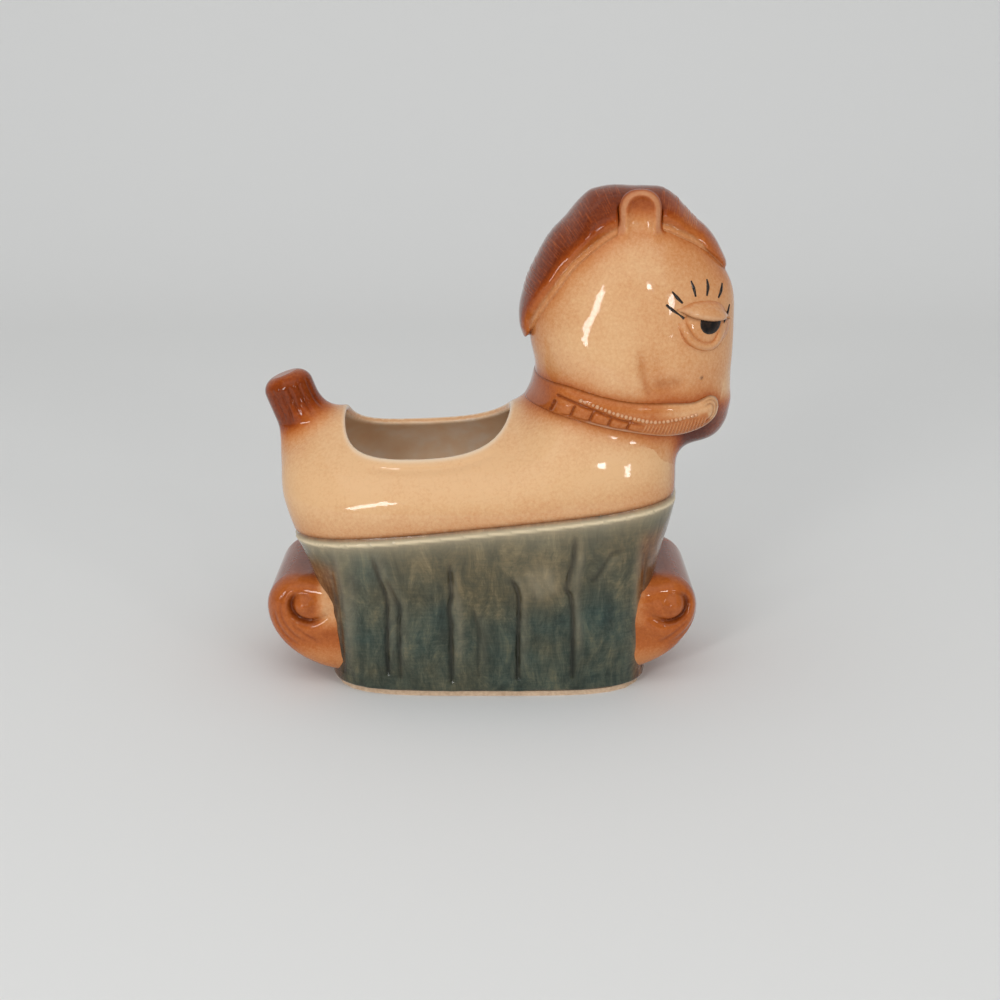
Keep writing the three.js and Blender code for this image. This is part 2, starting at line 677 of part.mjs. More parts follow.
const clearOfBall = solid(eyeball(SEAM));
const eye = solid(eyeball(0)).subtract(clearOfHead);
const upperLid = solid(eyeball(LID_RISE + SEAM))
  .intersect(solid(lidBlock(LID_EDGE, 2 * EYE_TALL)))
  .subtract(clearOfBall)
  .subtract(clearOfHead);
const pupil = solid(eyeball(SEAM + PUPIL_RISE))
  .intersect(solid(pupilDisc()))
  .intersect(solid(lidBlock(-2 * EYE_TALL, LID_EDGE - SEAM)))
  .subtract(clearOfBall);
const lowerLid = solid(lowerLidRoll())
  .intersect(solid(lidBlock(-2 * EYE_TALL, LID_EDGE - SEAM)))
  .subtract(clearOfBall)
  .subtract(clearOfHead);

// Glazes
const glaze = (color, roughness) =>
  new THREE.MeshStandardMaterial({ color, roughness, metalness: 0 });
const creamGlaze = glaze('#e0b68c', 0.15);
const brownGlaze = glaze('#9c4c22', 0.15);
const blueGreenGlaze = glaze('#575b4e', 0.18);
const blackGlaze = glaze('#161310', 0.2);
const bareClay = glaze('#d2b394', 0.85);

const planter = new THREE.Group();

function place(name, geometry, material) {
  const mesh = new THREE.Mesh(geometry, material.clone());
  mesh.name = name;
  planter.add(mesh);
}

function placePair(name, body, material) {
  const left = closed(geometryOf(body));
  place(`${name}_left`, left, material);
  place(`${name}_right`, mirrored(left), material);
}

place('foot_ring', geometryOf(footRing), bareClay);
place('skirt_pot', geometryOf(skirtPot), blueGreenGlaze);
place('body_shell', geometryOf(bodyShell), creamGlaze);
place('head_shell', geometryOf(headShell), creamGlaze);
place('mane', geometryOf(mane), brownGlaze);
place('forelock', geometryOf(forelock), brownGlaze);
place('rein', geometryOf(rein), brownGlaze);
place('tail', geometryOf(tail), brownGlaze);
place('rear_scroll', geometryOf(rearScroll), brownGlaze);
place('front_scroll', geometryOf(frontScroll), brownGlaze);
placePair('ear', ear, brownGlaze);
placePair('eye', eye, creamGlaze);
placePair('upper_lid', upperLid, creamGlaze);
placePair('lower_lid', lowerLid, creamGlaze);
placePair('pupil', pupil, blackGlaze);

// The origin is under the middle of the whole piece.
const box = new THREE.Box3().setFromObject(planter);
planter.position.x = -(box.min.x + box.max.x) / 2;

export default planter;
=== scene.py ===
# Looks of the planter pot: the toy horse's casting as smooth fields in millimetres, and its glazes.
import math
import bpy
import mathutils
import numpy as np
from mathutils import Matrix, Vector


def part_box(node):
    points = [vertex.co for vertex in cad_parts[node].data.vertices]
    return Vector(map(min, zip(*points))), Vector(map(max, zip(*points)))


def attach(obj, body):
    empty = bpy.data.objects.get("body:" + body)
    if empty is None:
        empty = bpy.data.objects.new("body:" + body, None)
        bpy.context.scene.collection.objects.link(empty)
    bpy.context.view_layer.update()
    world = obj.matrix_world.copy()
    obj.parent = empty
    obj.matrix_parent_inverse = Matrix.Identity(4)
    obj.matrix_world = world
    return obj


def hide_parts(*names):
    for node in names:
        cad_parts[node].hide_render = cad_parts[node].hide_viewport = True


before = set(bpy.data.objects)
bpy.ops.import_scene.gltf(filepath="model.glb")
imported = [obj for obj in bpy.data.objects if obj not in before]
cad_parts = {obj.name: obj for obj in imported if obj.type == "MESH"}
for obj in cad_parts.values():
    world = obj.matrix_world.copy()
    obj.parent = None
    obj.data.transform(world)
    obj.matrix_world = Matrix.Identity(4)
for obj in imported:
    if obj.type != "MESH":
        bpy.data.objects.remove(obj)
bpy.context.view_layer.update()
scene = bpy.context.scene


# Small tools

def linear(code):
    values = [int(code[i:i + 2], 16) / 255 for i in (1, 3, 5)]
    return [v / 12.92 if v <= 0.04045 else ((v + 0.055) / 1.055) ** 2.4 for v in values] + [1.0]


def setInputs(tree, node, inputs):
    for key, value in inputs.items():
        if isinstance(value, bpy.types.NodeSocket):
            tree.links.new(value, node.inputs[key])
        else:
            node.inputs[key].default_value = value


def addNode(tree, kind, inputs=None, stops=None, **settings):
    node = tree.nodes.new(kind)
    for name, value in settings.items():
        setattr(node, name, value)
    if stops:
        elements = node.color_ramp.elements
        while len(elements) < len(stops):
            elements.new(0.5)
        for element, (place, code) in zip(elements, stops):
            element.position = place
            element.color = linear(code)
    setInputs(tree, node, inputs or {})
    return node


def ease(t):
    t = np.clip(t, 0, 1)
    return t * t * t * (t * (6 * t - 15) + 10)


def bell(t):
    return np.exp(-t * t)


def smoothMin(a, b, k):
    h = np.maximum(k - np.abs(a - b), 0) / k
    return np.minimum(a, b) - h * h * k / 4


def smoothMax(a, b, k):
    return -smoothMin(-a, -b, k)


def most(first, *others):
    for other in others:
        first = np.maximum(first, other)
    return first


def nought(x):
    return np.zeros(x.shape)


# Smooth curve through points of the side view or of a table.
def curve(points, count=6):
    p = np.array(points, float)
    p = np.vstack([2 * p[0] - p[1], p, 2 * p[-1] - p[-2]])
    t = np.arange(count)[:, None] / count
    rows = [b + 0.5 * t * (c - a + t * (2 * a - 5 * b + 4 * c - d + t * (3 * (b - c) + d - a)))
            for a, b, c, d in zip(p, p[1:], p[2:], p[3:])]
    return np.vstack(rows + [p[-2:-1]])


def bezier(a, b, c, d, count):
    t = np.linspace(0, 1, count)[:, None]
    return (1 - t) ** 3 * a + 3 * t * (1 - t) ** 2 * b + 3 * t * t * (1 - t) * c + t ** 3 * d


def lengths(path):
    return np.concatenate([[0], np.cumsum(np.hypot(*np.diff(path, axis=0).T))])


# Distance from a side-view line, share of its length at the nearest place, and 1 on its left, -1 on
# its right.
def nearest(path, x, z):
    length = lengths(path)
    best = np.full(x.shape, 1e12)
    share, side = np.zeros(x.shape), np.ones(x.shape)
    for i, ((ax, az), (bx, bz)) in enumerate(zip(path, path[1:])):
        ux, uz, size = bx - ax, bz - az, length[i + 1] - length[i]
        t = np.clip(((x - ax) * ux + (z - az) * uz) / size ** 2, 0, 1)
        dx, dz = x - ax - t * ux, z - az - t * uz
        gap = dx * dx + dz * dz
        closer = gap < best
        best = np.where(closer, gap, best)
        share = np.where(closer, (length[i] + t * size) / length[-1], share)
        side = np.where(closer, np.where(ux * dz - uz * dx > 0, 1.0, -1.0), side)
    return np.sqrt(best), share, side


# Signed distance from a side-view line, positive on its left.
def leftOf(path, x, z):
    gap, _, side = nearest(path, x, z)
    return gap * side


# Soft line along a side-view path: 1 on it, 0 past about twice its width, fading at its ends.
def stroke(path, width, x, z, fadeIn=0.1, fadeOut=0.1, off=0.0):
    low, high = path.min(axis=0) - 3 * width - abs(off), path.max(axis=0) + 3 * width + abs(off)
    here = (x > low[0]) & (x < high[0]) & (z > low[1]) & (z < high[1])
    result = np.zeros(x.shape)
    if here.any():
        gap, share, side = nearest(path, x[here], z[here])
        fade = ease(share / max(fadeIn, 1e-6)) * ease((1 - share) / max(fadeOut, 1e-6))
        result[here] = bell((gap * side - off) / width) * fade
    return result


# Signed distance from a closed side-view outline, negative inside.
def outlineField(path, x, z):
    ring = np.vstack([path, path[:1]])
    gap = nearest(ring, x, z)[0]
    inside = np.zeros(x.shape, bool)
    for (ax, az), (bx, bz) in zip(ring, ring[1:]):
        crosses = (az > z) != (bz > z)
        run = np.where(crosses, z - az, 0) / (bz - az if bz != az else 1) * (bx - ax) + ax
        inside ^= crosses & (x < run)
    return np.where(inside, -gap, gap)


# cells in a block, steps that count as near, and how the points settle on the surface
mesher = {"block": 4, "near": 6, "rounds": 3, "move": 0.4, "flattest": 0.05}


# Index of a part along one axis of a grid.
def part(axis, first, last):
    return tuple(slice(first, last) if a == axis else slice(None) for a in range(3))


# Mesh of the place where a field is nought, sampled finely only in the blocks near it.
def netMesh(field, low, high, step):
    low, block = np.array(low, float), mesher["block"]
    blocks = np.ceil((np.array(high) - low) / step / block).astype(int)
    centres = [low[a] + step * (block * np.arange(blocks[a]) + block / 2) for a in range(3)]
    values = field(*(g.ravel() for g in np.meshgrid(*centres, indexing="ij"))).reshape(blocks)
    busy = np.abs(values) < mesher["near"] * step
    for a in range(3):
        values = np.repeat(values, block, axis=a)
        values = np.concatenate([values, values[part(a, -1, None)]], axis=a)
        wide = np.repeat(busy, block, axis=a)
        busy = np.concatenate([wide, wide[part(a, -1, None)]], axis=a)
        busy[part(a, 1, None)] |= wide
    where = np.nonzero(busy)
    values[where] = field(*(low[a] + step * where[a] for a in range(3)))
    inside = values < 0
    size = [n - 1 for n in inside.shape]
    count = np.zeros(size, int)
    for i, j, k in np.ndindex(2, 2, 2):
        count += inside[i:i + size[0], j:j + size[1], k:k + size[2]]
    cells = np.nonzero((count > 0) & (count < 8))
    number = np.full(size, -1)
    number[cells] = np.arange(len(cells[0]))
    total, hits = np.zeros((len(cells[0]), 3)), np.zeros((len(cells[0]), 1))
    quads = []
    for a in range(3):
        b, c = (a + 1) % 3, (a + 2) % 3
        for i, j in np.ndindex(2, 2):
            start = list(cells)
            start[b], start[c] = start[b] + i, start[c] + j
            end = list(start)
            end[a] = end[a] + 1
            v, w = values[tuple(start)], values[tuple(end)]
            cut = (v < 0) != (w < 0)
            place = np.zeros_like(total)
            place[:, a] = v / np.where(cut, v - w, 1)
            place[:, b], place[:, c] = i, j
            total += place * cut[:, None]
            hits += cut[:, None]
        edges = np.array(np.nonzero(inside[part(a, None, -1)] != inside[part(a, 1, None)]))
        keep = np.ones(edges.shape[1], bool)
        for other in (b, c):
            keep &= (edges[other] > 0) & (edges[other] < inside.shape[other] - 1)
        edges = edges[:, keep]
        corners = []
        for i, j in ((-1, -1), (0, -1), (0, 0), (-1, 0)):
            cell = edges.copy()
            cell[b] += i
            cell[c] += j
            corners.append(number[tuple(cell)])
        quad = np.stack(corners, axis=1)
        out = inside[tuple(edges)]
        quads += [quad[out], quad[~out][:, ::-1]]
    points = low + step * (np.stack(cells, axis=1) + total / hits)
    furthest = mesher["move"] * step
    for _ in range(mesher["rounds"]):
        value, slope = field(*points.T), slopeOf(field, points)
        move = value / np.maximum((slope * slope).sum(axis=1), mesher["flattest"])
        points -= np.clip(move, -furthest, furthest)[:, None] * slope
    return points, np.vstack(quads)


def slopeOf(field, points, eps=0.02):
    here = field(*points.T)
    steps = eps * np.eye(3)
    return np.stack([(field(*(points + step).T) - here) / eps for step in steps], axis=1)


def metres(points):
    return ((points + [shift, 0, 0]) / 1000).tolist()


def addObject(name, data):
    thing = bpy.data.objects.new(name, data)
    scene.collection.objects.link(thing)
    return thing


def setValues(mesh, key, values):
    values = np.full(len(mesh.vertices), values, np.float32)
    mesh.attributes.new(key, "FLOAT", "POINT").data.foreach_set("value", values)


# Paint as attributes of the points, nought for each mark that isn't given.
def layPaint(mesh, marks):
    for key, values in {"brown": 0, "thin": 0, "dark": 0, "inside": 0, **marks}.items():
        setValues(mesh, key, values)


# Object of a net, with its paint. The shading of a film on another piece follows the field that
# both share.
def makePiece(name, net, slot, nodes, paint=None, shade=None, flip=False):
    points, faces = net
    marks = paint(*points.T) if paint else {}
    if flip:
        points, faces = points * [1, -1, 1], faces[:, ::-1]
    mesh = bpy.data.meshes.new(name)
    mesh.from_pydata(metres(points), [], faces.tolist())
    mesh.polygons.foreach_set("use_smooth", np.ones(len(mesh.polygons), bool))
    if marks:
        layPaint(mesh, marks)
    if shade:
        normals = slopeOf(shade, points)
        normals /= np.linalg.norm(normals, axis=1)[:, None]
        mesh.normals_split_custom_set_from_vertices(normals.tolist())
    mesh.materials.append(glazes[slot])
    register(addObject(name, mesh), nodes)


def register(piece, nodes=()):
    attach(piece, "root")
    if nodes:
        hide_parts(*nodes)
    print(piece.name, len(piece.data.polygons), "faces")


# Distance in space from a path on the near side, alike for both sides.
def pathGap(path, x, y, z):
    best, y = np.full(x.shape, 1e12), -np.abs(y)
    for a, b in zip(path, path[1:]):
        u = b - a
        t = np.clip(((x - a[0]) * u[0] + (y - a[1]) * u[1] + (z - a[2]) * u[2]) / (u @ u), 0, 1)
        best = np.minimum(best, (x - a[0] - t * u[0]) ** 2 + (y - a[1] - t * u[1]) ** 2
                          + (z - a[2] - t * u[2]) ** 2)
    return np.sqrt(best)


# Last places inside, between places that are inside and places that are outside.
def bisect(isOut, inner, outer, rounds):
    for _ in range(rounds):
        middle = (inner + outer) / 2
        out = isOut(middle)
        inner, outer = np.where(out, inner, middle), np.where(out, middle, outer)
    return inner


# Near side of a field at side-view places: the y where it is nought.
def sideAt(field, x, z):
    return bisect(lambda y: field(x, y, z) > 0, nought(x), np.full(x.shape, -40.0), 30)


# New node tree that grows something along drawn paths, with its sizes as inputs.
def newTree(name, **sizes):
    tree = bpy.data.node_groups.new(name, "GeometryNodeTree")
    for socket, kind in {"Paths": "Geometry", **sizes}.items():
        tree.interface.new_socket(socket, in_out="INPUT", socket_type="NodeSocket" + kind)
    tree.interface.new_socket("Grown", in_out="OUTPUT", socket_type="NodeSocketGeometry")
    given = addNode(tree, "NodeGroupInput").outputs
    path = addNode(tree, "GeometryNodeMeshToCurve", {"Mesh": given["Paths"]}).outputs[0]
    return tree, given, path


def endTree(tree, grown, slot):
    smooth = addNode(tree, "GeometryNodeSetShadeSmooth", {0: grown})
    real = addNode(tree, "GeometryNodeRealizeInstances", {0: smooth.outputs[0]})
    coat = addNode(tree, "GeometryNodeSetMaterial", {0: real.outputs[0], "Material": glazes[slot]})
    addNode(tree, "NodeGroupOutput", {0: coat.outputs[0]})
    return tree


# Node tree that sweeps a small round along drawn paths, as thick at each point as its taper says.
def strokeTree(name, slot):
    tree, given, path = newTree(name, Thickness="Float", Sides="Int")
    taper = addNode(tree, "GeometryNodeInputNamedAttribute", {"Name": "taper"}, data_type="FLOAT")
    around = addNode(tree, "GeometryNodeCurvePrimitiveCircle", {
        "Resolution": given["Sides"], "Radius": given["Thickness"]})
    tube = addNode(tree, "GeometryNodeCurveToMesh", {
        "Curve": path, "Profile Curve": around.outputs[0], "Scale": taper.outputs[0],
        "Fill Caps": True})
    return endTree(tree, tube.outputs[0], slot)


# Node tree that sets round beads along drawn paths, each a little larger or smaller.
def beadTree(name, slot):
    tree, given, path = newTree(name, Pitch="Float", Radius="Float", Seed="Int")
    even = addNode(tree, "GeometryNodeResampleCurve", {"Curve": path, "Length": given["Pitch"]},
                   mode="LENGTH")
    bead = addNode(tree, "GeometryNodeMeshUVSphere", {
        "Segments": 8, "Rings": 5, "Radius": given["Radius"]})
    vary = addNode(tree, "FunctionNodeRandomValue", {2: 0.8, 3: 1.15, "Seed": given["Seed"]},
                   data_type="FLOAT")
    row = addNode(tree, "GeometryNodeInstanceOnPoints", {
        "Points": even.outputs[0], "Instance": bead.outputs[0], "Scale": vary.outputs[1]})
    return endTree(tree, row.outputs[0], slot)


# Plain mesh that a node tree grows along paths on the near side and along their mirror images.
def growPiece(name, tree, sizes, paths, tapers=None, paint=None, mirror=True):
    if mirror:
        paths = paths + [path * [1, -1, 1] for path in paths]
        tapers = tapers * 2 if tapers else None
    starts = np.cumsum([0] + [len(path) for path in paths])
    edges = [(i, i + 1) for a, b in zip(starts, starts[1:]) for i in range(a, b - 1)]
    drawn = bpy.data.meshes.new(name + "_paths")
    drawn.from_pydata(metres(np.vstack(paths)), edges, [])
    if tapers:
        setValues(drawn, "taper", np.concatenate(tapers))
    piece = addObject(name, drawn)
    grow = piece.modifiers.new("grow", "NODES")
    grow.node_group = tree
    for socket in tree.interface.items_tree:
        if socket.name in sizes:
            grow[socket.identifier] = sizes[socket.name]
    shown = piece.evaluated_get(bpy.context.evaluated_depsgraph_get())
    grown = bpy.data.meshes.new_from_object(shown)
    piece.modifiers.clear()
    piece.data = grown
    grown.name = name
    if paint:
        spots = np.empty(3 * len(grown.vertices))
        grown.vertices.foreach_get("co", spots)
        layPaint(grown, paint(*(spots.reshape(-1, 3) * 1000 - [shift, 0, 0]).T))
    register(piece)


# Trunk and head: plans that change with height, as in the casting

hull = {"rump": -64.5, "chest": 55.9, "halfWidth": 35.0, "back": 83.4, "belly": 57.96,
        "middle": -4.3, "shoulderRise": 18.0, "shoulderFrom": 2.0, "shoulderTo": 30.0,
        "dome": 2.2}
# height, rear end, front end and half width as shares, then how square the rear and front are
hullRows = np.array([
    [0, 0.767, 0.859, 0.891, 4.2, 4.2], [0.18, 0.783, 0.869, 0.909, 4.2, 4.2],
    [0.36, 0.822, 0.894, 0.931, 4, 4], [0.504, 0.886, 0.93, 0.966, 3.8, 3.9],
    [0.6, 0.942, 0.97, 0.991, 3.5, 3.9], [0.695, 0.983, 0.996, 1, 3.2, 3.9],
    [0.791, 0.993, 1, 0.914, 3, 4], [0.863, 0.974, 0.984, 0.757, 2.8, 4.2],
    [0.923, 0.922, 0.93, 0.557, 2.6, 4.2], [0.971, 0.837, 0.823, 0.329, 2.5, 4],
    [0.993, 0.713, 0.68, 0.16, 2.5, 4]])
head = {"back": 10.8, "front": 72.48, "chin": 73.2, "top": 147.0, "halfWidth": 27.3, "taper": 0.14,
        "dome": 2.4}
# height, back and front as shares of the length, half width, and how square the plan is
headRows = np.array([
    [0.018, 0.553, 0.898, 0.476, 2.3], [0.051, 0.44, 0.955, 0.641, 2.3],
    [0.106, 0.214, 0.99, 0.806, 2.3], [0.16, 0.09, 0.998, 0.916, 2.4],
    [0.228, 0.066, 0.995, 0.982, 2.4], [0.322, 0.045, 0.995, 1, 2.4],
    [0.417, 0.016, 1, 0.974, 2.4], [0.526, 0.003, 1, 0.923, 2.3],
    [0.634, 0.032, 0.988, 0.85, 2.3], [0.729, 0.081, 0.932, 0.769, 2.2],
    [0.824, 0.149, 0.856, 0.645, 2.2], [0.905, 0.238, 0.755, 0.495, 2.1],
    [0.966, 0.335, 0.659, 0.311, 2]])
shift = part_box("body_shell")[0][0] * 1000 - hull["rump"]
lookup = {"from": -0.3, "to": 1.3, "steps": 3200}


# Smooth column of a table of levels: steady slopes, then a running mean over the corners.
def smoothColumn(heights, values, soften=0.05):
    rise = np.diff(values) / np.diff(heights)
    turn = rise[:-1] * rise[1:]
    slope = np.concatenate([[rise[0]], np.where(
        turn > 0, 2 * turn / (rise[:-1] + rise[1:] + 1e-12), 0), [rise[-1]]])
    at = np.linspace(lookup["from"], lookup["to"], lookup["steps"] + 1)
    held = np.clip(at, heights[0], heights[-1])
    i = np.clip(np.searchsorted(heights, held, side="right") - 1, 0, len(rise) - 1)
    span = heights[i + 1] - heights[i]
    t = (held - heights[i]) / span
    a, b, go, come = values[i], values[i + 1], slope[i] * span, slope[i + 1] * span
    column = a + t * (go + t * (3 * (b - a) - 2 * go - come + t * (go + come - 2 * (b - a))))
    n = int(soften / (at[1] - at[0])) + 1
    kernel = np.hanning(2 * n + 1)
    return np.convolve(np.pad(column, n, mode="edge"), kernel / kernel.sum(), mode="valid")


def lookUp(table, share):
    t = (share - lookup["from"]) / (lookup["to"] - lookup["from"]) * lookup["steps"]
    t = np.clip(t, 0, lookup["steps"] - 0.001)
    i = t.astype(int)
    return (table[i] + (t - i)[:, None] * (table[i + 1] - table[i])).T


def hullTable():
    h, rearEnd, frontEnd, half, rearPower, frontPower = hullRows.T
    over = np.clip((h * hull["back"] - hull["belly"]) / (hull["back"] - hull["belly"]), 0, 1)
    shrink = lambda power: (1 - over ** power) ** (1 / power)
    columns = [(hull["middle"] - hull["rump"] * rearEnd) / shrink(rearPower),
               (hull["chest"] * frontEnd - hull["middle"]) / shrink(frontPower),
               hull["halfWidth"] * half / shrink(hull["dome"]), rearPower, frontPower]
    return np.stack([smoothColumn(h, column) for column in columns], axis=1)


def headTable():
    h, back, front, half, power = headRows.T
    shrink = (1 - np.abs(2 * h - 1) ** head["dome"]) ** (1 / head["dome"])
    length = head["front"] - head["back"]
    columns = [head["back"] + length * (back + front) / 2, length * (front - back) / 2 / shrink,
               head["halfWidth"] * half / shrink, power]
    return np.stack([smoothColumn(h, column) for column in columns], axis=1)


hullColumns, headColumns = hullTable(), headTable()


def trunkShare(x, y, z):
    along = (x - hull["shoulderFrom"]) / (hull["shoulderTo"] - hull["shoulderFrom"])
    crest = hull["back"] + hull["shoulderRise"] * ease(along)
    over = np.clip((z - hull["belly"]) / (crest - hull["belly"]), 0, 1.4)
    level = np.where(over > 0, hull["belly"] + over * (hull["back"] - hull["belly"]), z)
    rear, front, half, rearPower, frontPower = lookUp(hullColumns, level / hull["back"])
    ahead = x > hull["middle"]
    power = np.where(ahead, frontPower, rearPower)
    reach = np.where(ahead, front, rear)
    side, dome = np.abs(y) / half, hull["dome"]
    side = np.where(over > 0, (side ** dome + over ** dome) ** (1 / dome), side)
    return (side ** power + (np.abs(x - hull["middle"]) / reach) ** power) ** (1 / power) - 1


def headShare(x, y, z):
    share = (z - head["chin"]) / (head["top"] - head["chin"])
    middle, reach, half, power = lookUp(headColumns, share)
    along = (x - middle) / reach
    narrow = 1 - head["taper"] * 0.5 * (along + np.sqrt(along * along + 0.12))
    ring = np.abs(along) ** power + (np.abs(y) / (half * narrow)) ** power
    tall = np.abs(2 * share - 1) ** head["dome"]
    return (ring ** (head["dome"] / power) + tall) ** (1 / head["dome"]) - 1


def distance(share, x, y, z, eps=0.15):
    here = share(x, y, z)
    dx = share(x + eps, y, z) - here
    dy = share(x, y + np.where(y < 0, -eps, eps), z) - here
    dz = share(x, y, z + eps) - here
    return here * eps / np.sqrt(dx * dx + dy * dy + dz * dz + 1e-11)


def trunk(x, y, z):
    return distance(trunkShare, x, y, z)


def skull(x, y, z):
    return distance(headShare, x, y, z)


neck = {"blend": 7.0}


def bust(x, y, z):
    return smoothMin(skull(x, y, z), trunk(x, y, z), neck["blend"])


# Glazes

# millimetres from grain to grain of each texture, then the finish
glaze = {"spray": 0.9091, "cloud": 11.111, "crazing": 3.3333, "pins": 10.526, "peel": 2.381,
         "runs": 5.2632, "threads": 0.83333, "patches": 13.333, "brush": 1.4286, "sand": 1.25,
         "roughness": 0.06, "roughInside": 0.3, "refraction": 1.5, "specular": 0.34}


def scaleOf(key):
    return 1000 / glaze[key]


# New material with its tree and the place on the object.
def newMaterial(name):
    material = bpy.data.materials.new(name)
    material.use_nodes = True
    tree = material.node_tree
    return material, tree, addNode(tree, "ShaderNodeTexCoord").outputs["Object"]


# Coats over a colour, each as thick as its share says, under a glossy skin that is a little uneven,
# and duller inside the pot.
def finishGlaze(tree, colour, coats, inside, height, strength, depth):
    for share, tone in coats:
        colour = addNode(tree, "ShaderNodeMix", {0: share, 6: colour, 7: tone},
                         data_type="RGBA").outputs[2]
    bump = addNode(tree, "ShaderNodeBump", {
        "Height": height, "Strength": strength, "Distance": depth})
    rough = addNode(tree, "ShaderNodeMath", {
        0: inside, 1: glaze["roughInside"], 2: glaze["roughness"]}, operation="MULTIPLY_ADD")
    setInputs(tree, tree.nodes["Principled BSDF"], {
        "Base Color": colour, "Roughness": rough.outputs[0], "Normal": bump.outputs[0],
        "IOR": glaze["refraction"], "Specular IOR Level": glaze["specular"]})


# Lead glaze over sprayed stain: cream that turns to fox brown where the airbrush lay and where
# shade is painted in, grainy from its droplets, with pin specks and faint crazing, pale where the
# glaze drew back and as painted highlight, dark as painted shade in creases and hollows, partly
# where the glaze pooled, and pale inside the pot as painted light. The crazing is drawn about twice
# as wide as it is, so that it shows.
def stainedGlaze(name):
    material, tree, place = newMaterial(name)
    brown, thin, dark, inside = (
        addNode(tree, "ShaderNodeAttribute", attribute_name=key).outputs["Fac"]
        for key in ("brown", "thin", "dark", "inside"))
    spray = addNode(tree, "ShaderNodeTexNoise", {
        "Vector": place, "Scale": scaleOf("spray"), "Detail": 3.0, "Roughness": 0.7})
    cloud = addNode(tree, "ShaderNodeTexNoise", {
        "Vector": place, "Scale": scaleOf("cloud"), "Detail": 3.0})
    for noise, strength in ((spray, 0.34), (cloud, 0.2)):
        grain = addNode(tree, "ShaderNodeMath", {0: noise.outputs["Fac"], 1: 0.5},
                        operation="SUBTRACT")
        brown = addNode(tree, "ShaderNodeMath", {0: grain.outputs[0], 1: strength, 2: brown},
                        operation="MULTIPLY_ADD").outputs[0]
    stain = addNode(tree, "ShaderNodeValToRGB", {0: brown}, stops=(
        (0.0, "#e4b787"), (0.12, "#dba676"), (0.3, "#cb8651"), (0.5, "#b6632b"), (0.72, "#94400f"),
        (1.0, "#571d08")))
    cracks = addNode(tree, "ShaderNodeTexVoronoi", {"Vector": place, "Scale": scaleOf("crazing")},
                     feature="DISTANCE_TO_EDGE")
    craze = addNode(tree, "ShaderNodeMapRange", {
        "Value": cracks.outputs["Distance"], "From Min": 0.0, "From Max": 0.06, "To Min": 0.045,
        "To Max": 0.0})
    pins = addNode(tree, "ShaderNodeTexVoronoi", {"Vector": place, "Scale": scaleOf("pins")})
    pin = addNode(tree, "ShaderNodeMapRange", {
        "Value": pins.outputs["Distance"], "From Min": 0.025, "From Max": 0.045, "To Min": 0.75,
        "To Max": 0.0})
    few = addNode(tree, "ShaderNodeMath", {0: pins.outputs["Color"], 1: 0.72},
                  operation="GREATER_THAN")
    specks = addNode(tree, "ShaderNodeMath", {0: pin.outputs[0], 1: few.outputs[0]},
                     operation="MULTIPLY")
    # painted light: the inner wall is painted paler than the cream, standing in for light in the
    # pot's shaded hollow
    paintedLightInside = addNode(tree, "ShaderNodeValToRGB", {0: cloud.outputs["Fac"]}, stops=(
        (0.35, "#f4d2ac"), (0.5, "#f9debd"), (0.62, "#fce9d1")))
    peel = addNode(tree, "ShaderNodeTexNoise", {
        "Vector": place, "Scale": scaleOf("peel"), "Detail": 1.0})
    finishGlaze(tree, stain.outputs[0], (
        (craze.outputs[0], linear("#9c7350")), (specks.outputs[0], linear("#4a2a18")),
        (dark, linear("#35180a")), (thin, linear("#f2dcbd")), (inside, paintedLightInside.outputs[0])),
        inside, peel.outputs["Fac"], 0.08, 0.0004)
    return material


# Runny blue-green glaze: olive in upright runs with a weave of fine streaks, sea green where it
# lies thick, black-green in the pleats, partly pooled glaze and partly painted shade, tan where it
# drew back from the hem, tan on the ridges as painted highlight, brown at the ends, and pale inside
# the pot as painted light.
def runnyGlaze(name):
    material, tree, place = newMaterial(name)
    brown, thin, dark, inside, green = (
        addNode(tree, "ShaderNodeAttribute", attribute_name=key).outputs["Fac"]
        for key in ("brown", "thin", "dark", "inside", "green"))
    upright = addNode(tree, "ShaderNodeMapping", {"Vector": place, "Scale": (1.0, 1.0, 0.36)})
    level = addNode(tree, "ShaderNodeMapping", {"Vector": place, "Scale": (0.16, 0.16, 1.0)})
    runs = addNode(tree, "ShaderNodeTexNoise", {
        "Vector": upright.outputs[0], "Scale": scaleOf("runs"), "Detail": 8.0, "Roughness": 0.78,
        "Distortion": 0.6})
    threads = addNode(tree, "ShaderNodeTexNoise", {
        "Vector": level.outputs[0], "Scale": scaleOf("threads"), "Detail": 3.0, "Roughness": 0.7})
    patches = addNode(tree, "ShaderNodeTexNoise", {
        "Vector": place, "Scale": scaleOf("patches"), "Detail": 4.0, "Roughness": 0.6})
    thread, patch = (addNode(tree, "ShaderNodeMath", {0: noise.outputs["Fac"], 1: 0.5},
                             operation="SUBTRACT").outputs[0] for noise in (threads, patches))
    woven = addNode(tree, "ShaderNodeMath", {0: thread, 1: 0.22, 2: runs.outputs["Fac"]},
                    operation="MULTIPLY_ADD").outputs[0]
    thick = addNode(tree, "ShaderNodeMath", {0: patch, 1: 1.5, 2: green},
                    operation="MULTIPLY_ADD", use_clamp=True).outputs[0]
    olive, sea, bark = (
        addNode(tree, "ShaderNodeValToRGB", {0: woven}, stops=stops).outputs[0] for stops in (
            ((0.3, "#343225"), (0.42, "#454332"), (0.52, "#585039"), (0.64, "#75674a"),
             (0.78, "#96855f")),
            ((0.3, "#182521"), (0.44, "#2a3b36"), (0.56, "#414f46"), (0.72, "#656751")),
            ((0.32, "#4a2a14"), (0.5, "#7c4a24"), (0.7, "#a57b50"))))
    # dark brings painted shade into the pleats, thin a painted highlight on the ridges besides the
    # pale hem, and the pale inside is painted light
    finishGlaze(tree, olive, (
        (thick, sea), (dark, linear("#14170f")), (brown, bark), (thin, linear("#eed9b4")),
        (inside, linear("#f4dabc"))), inside, woven, 0.2, 0.0005)
    return material


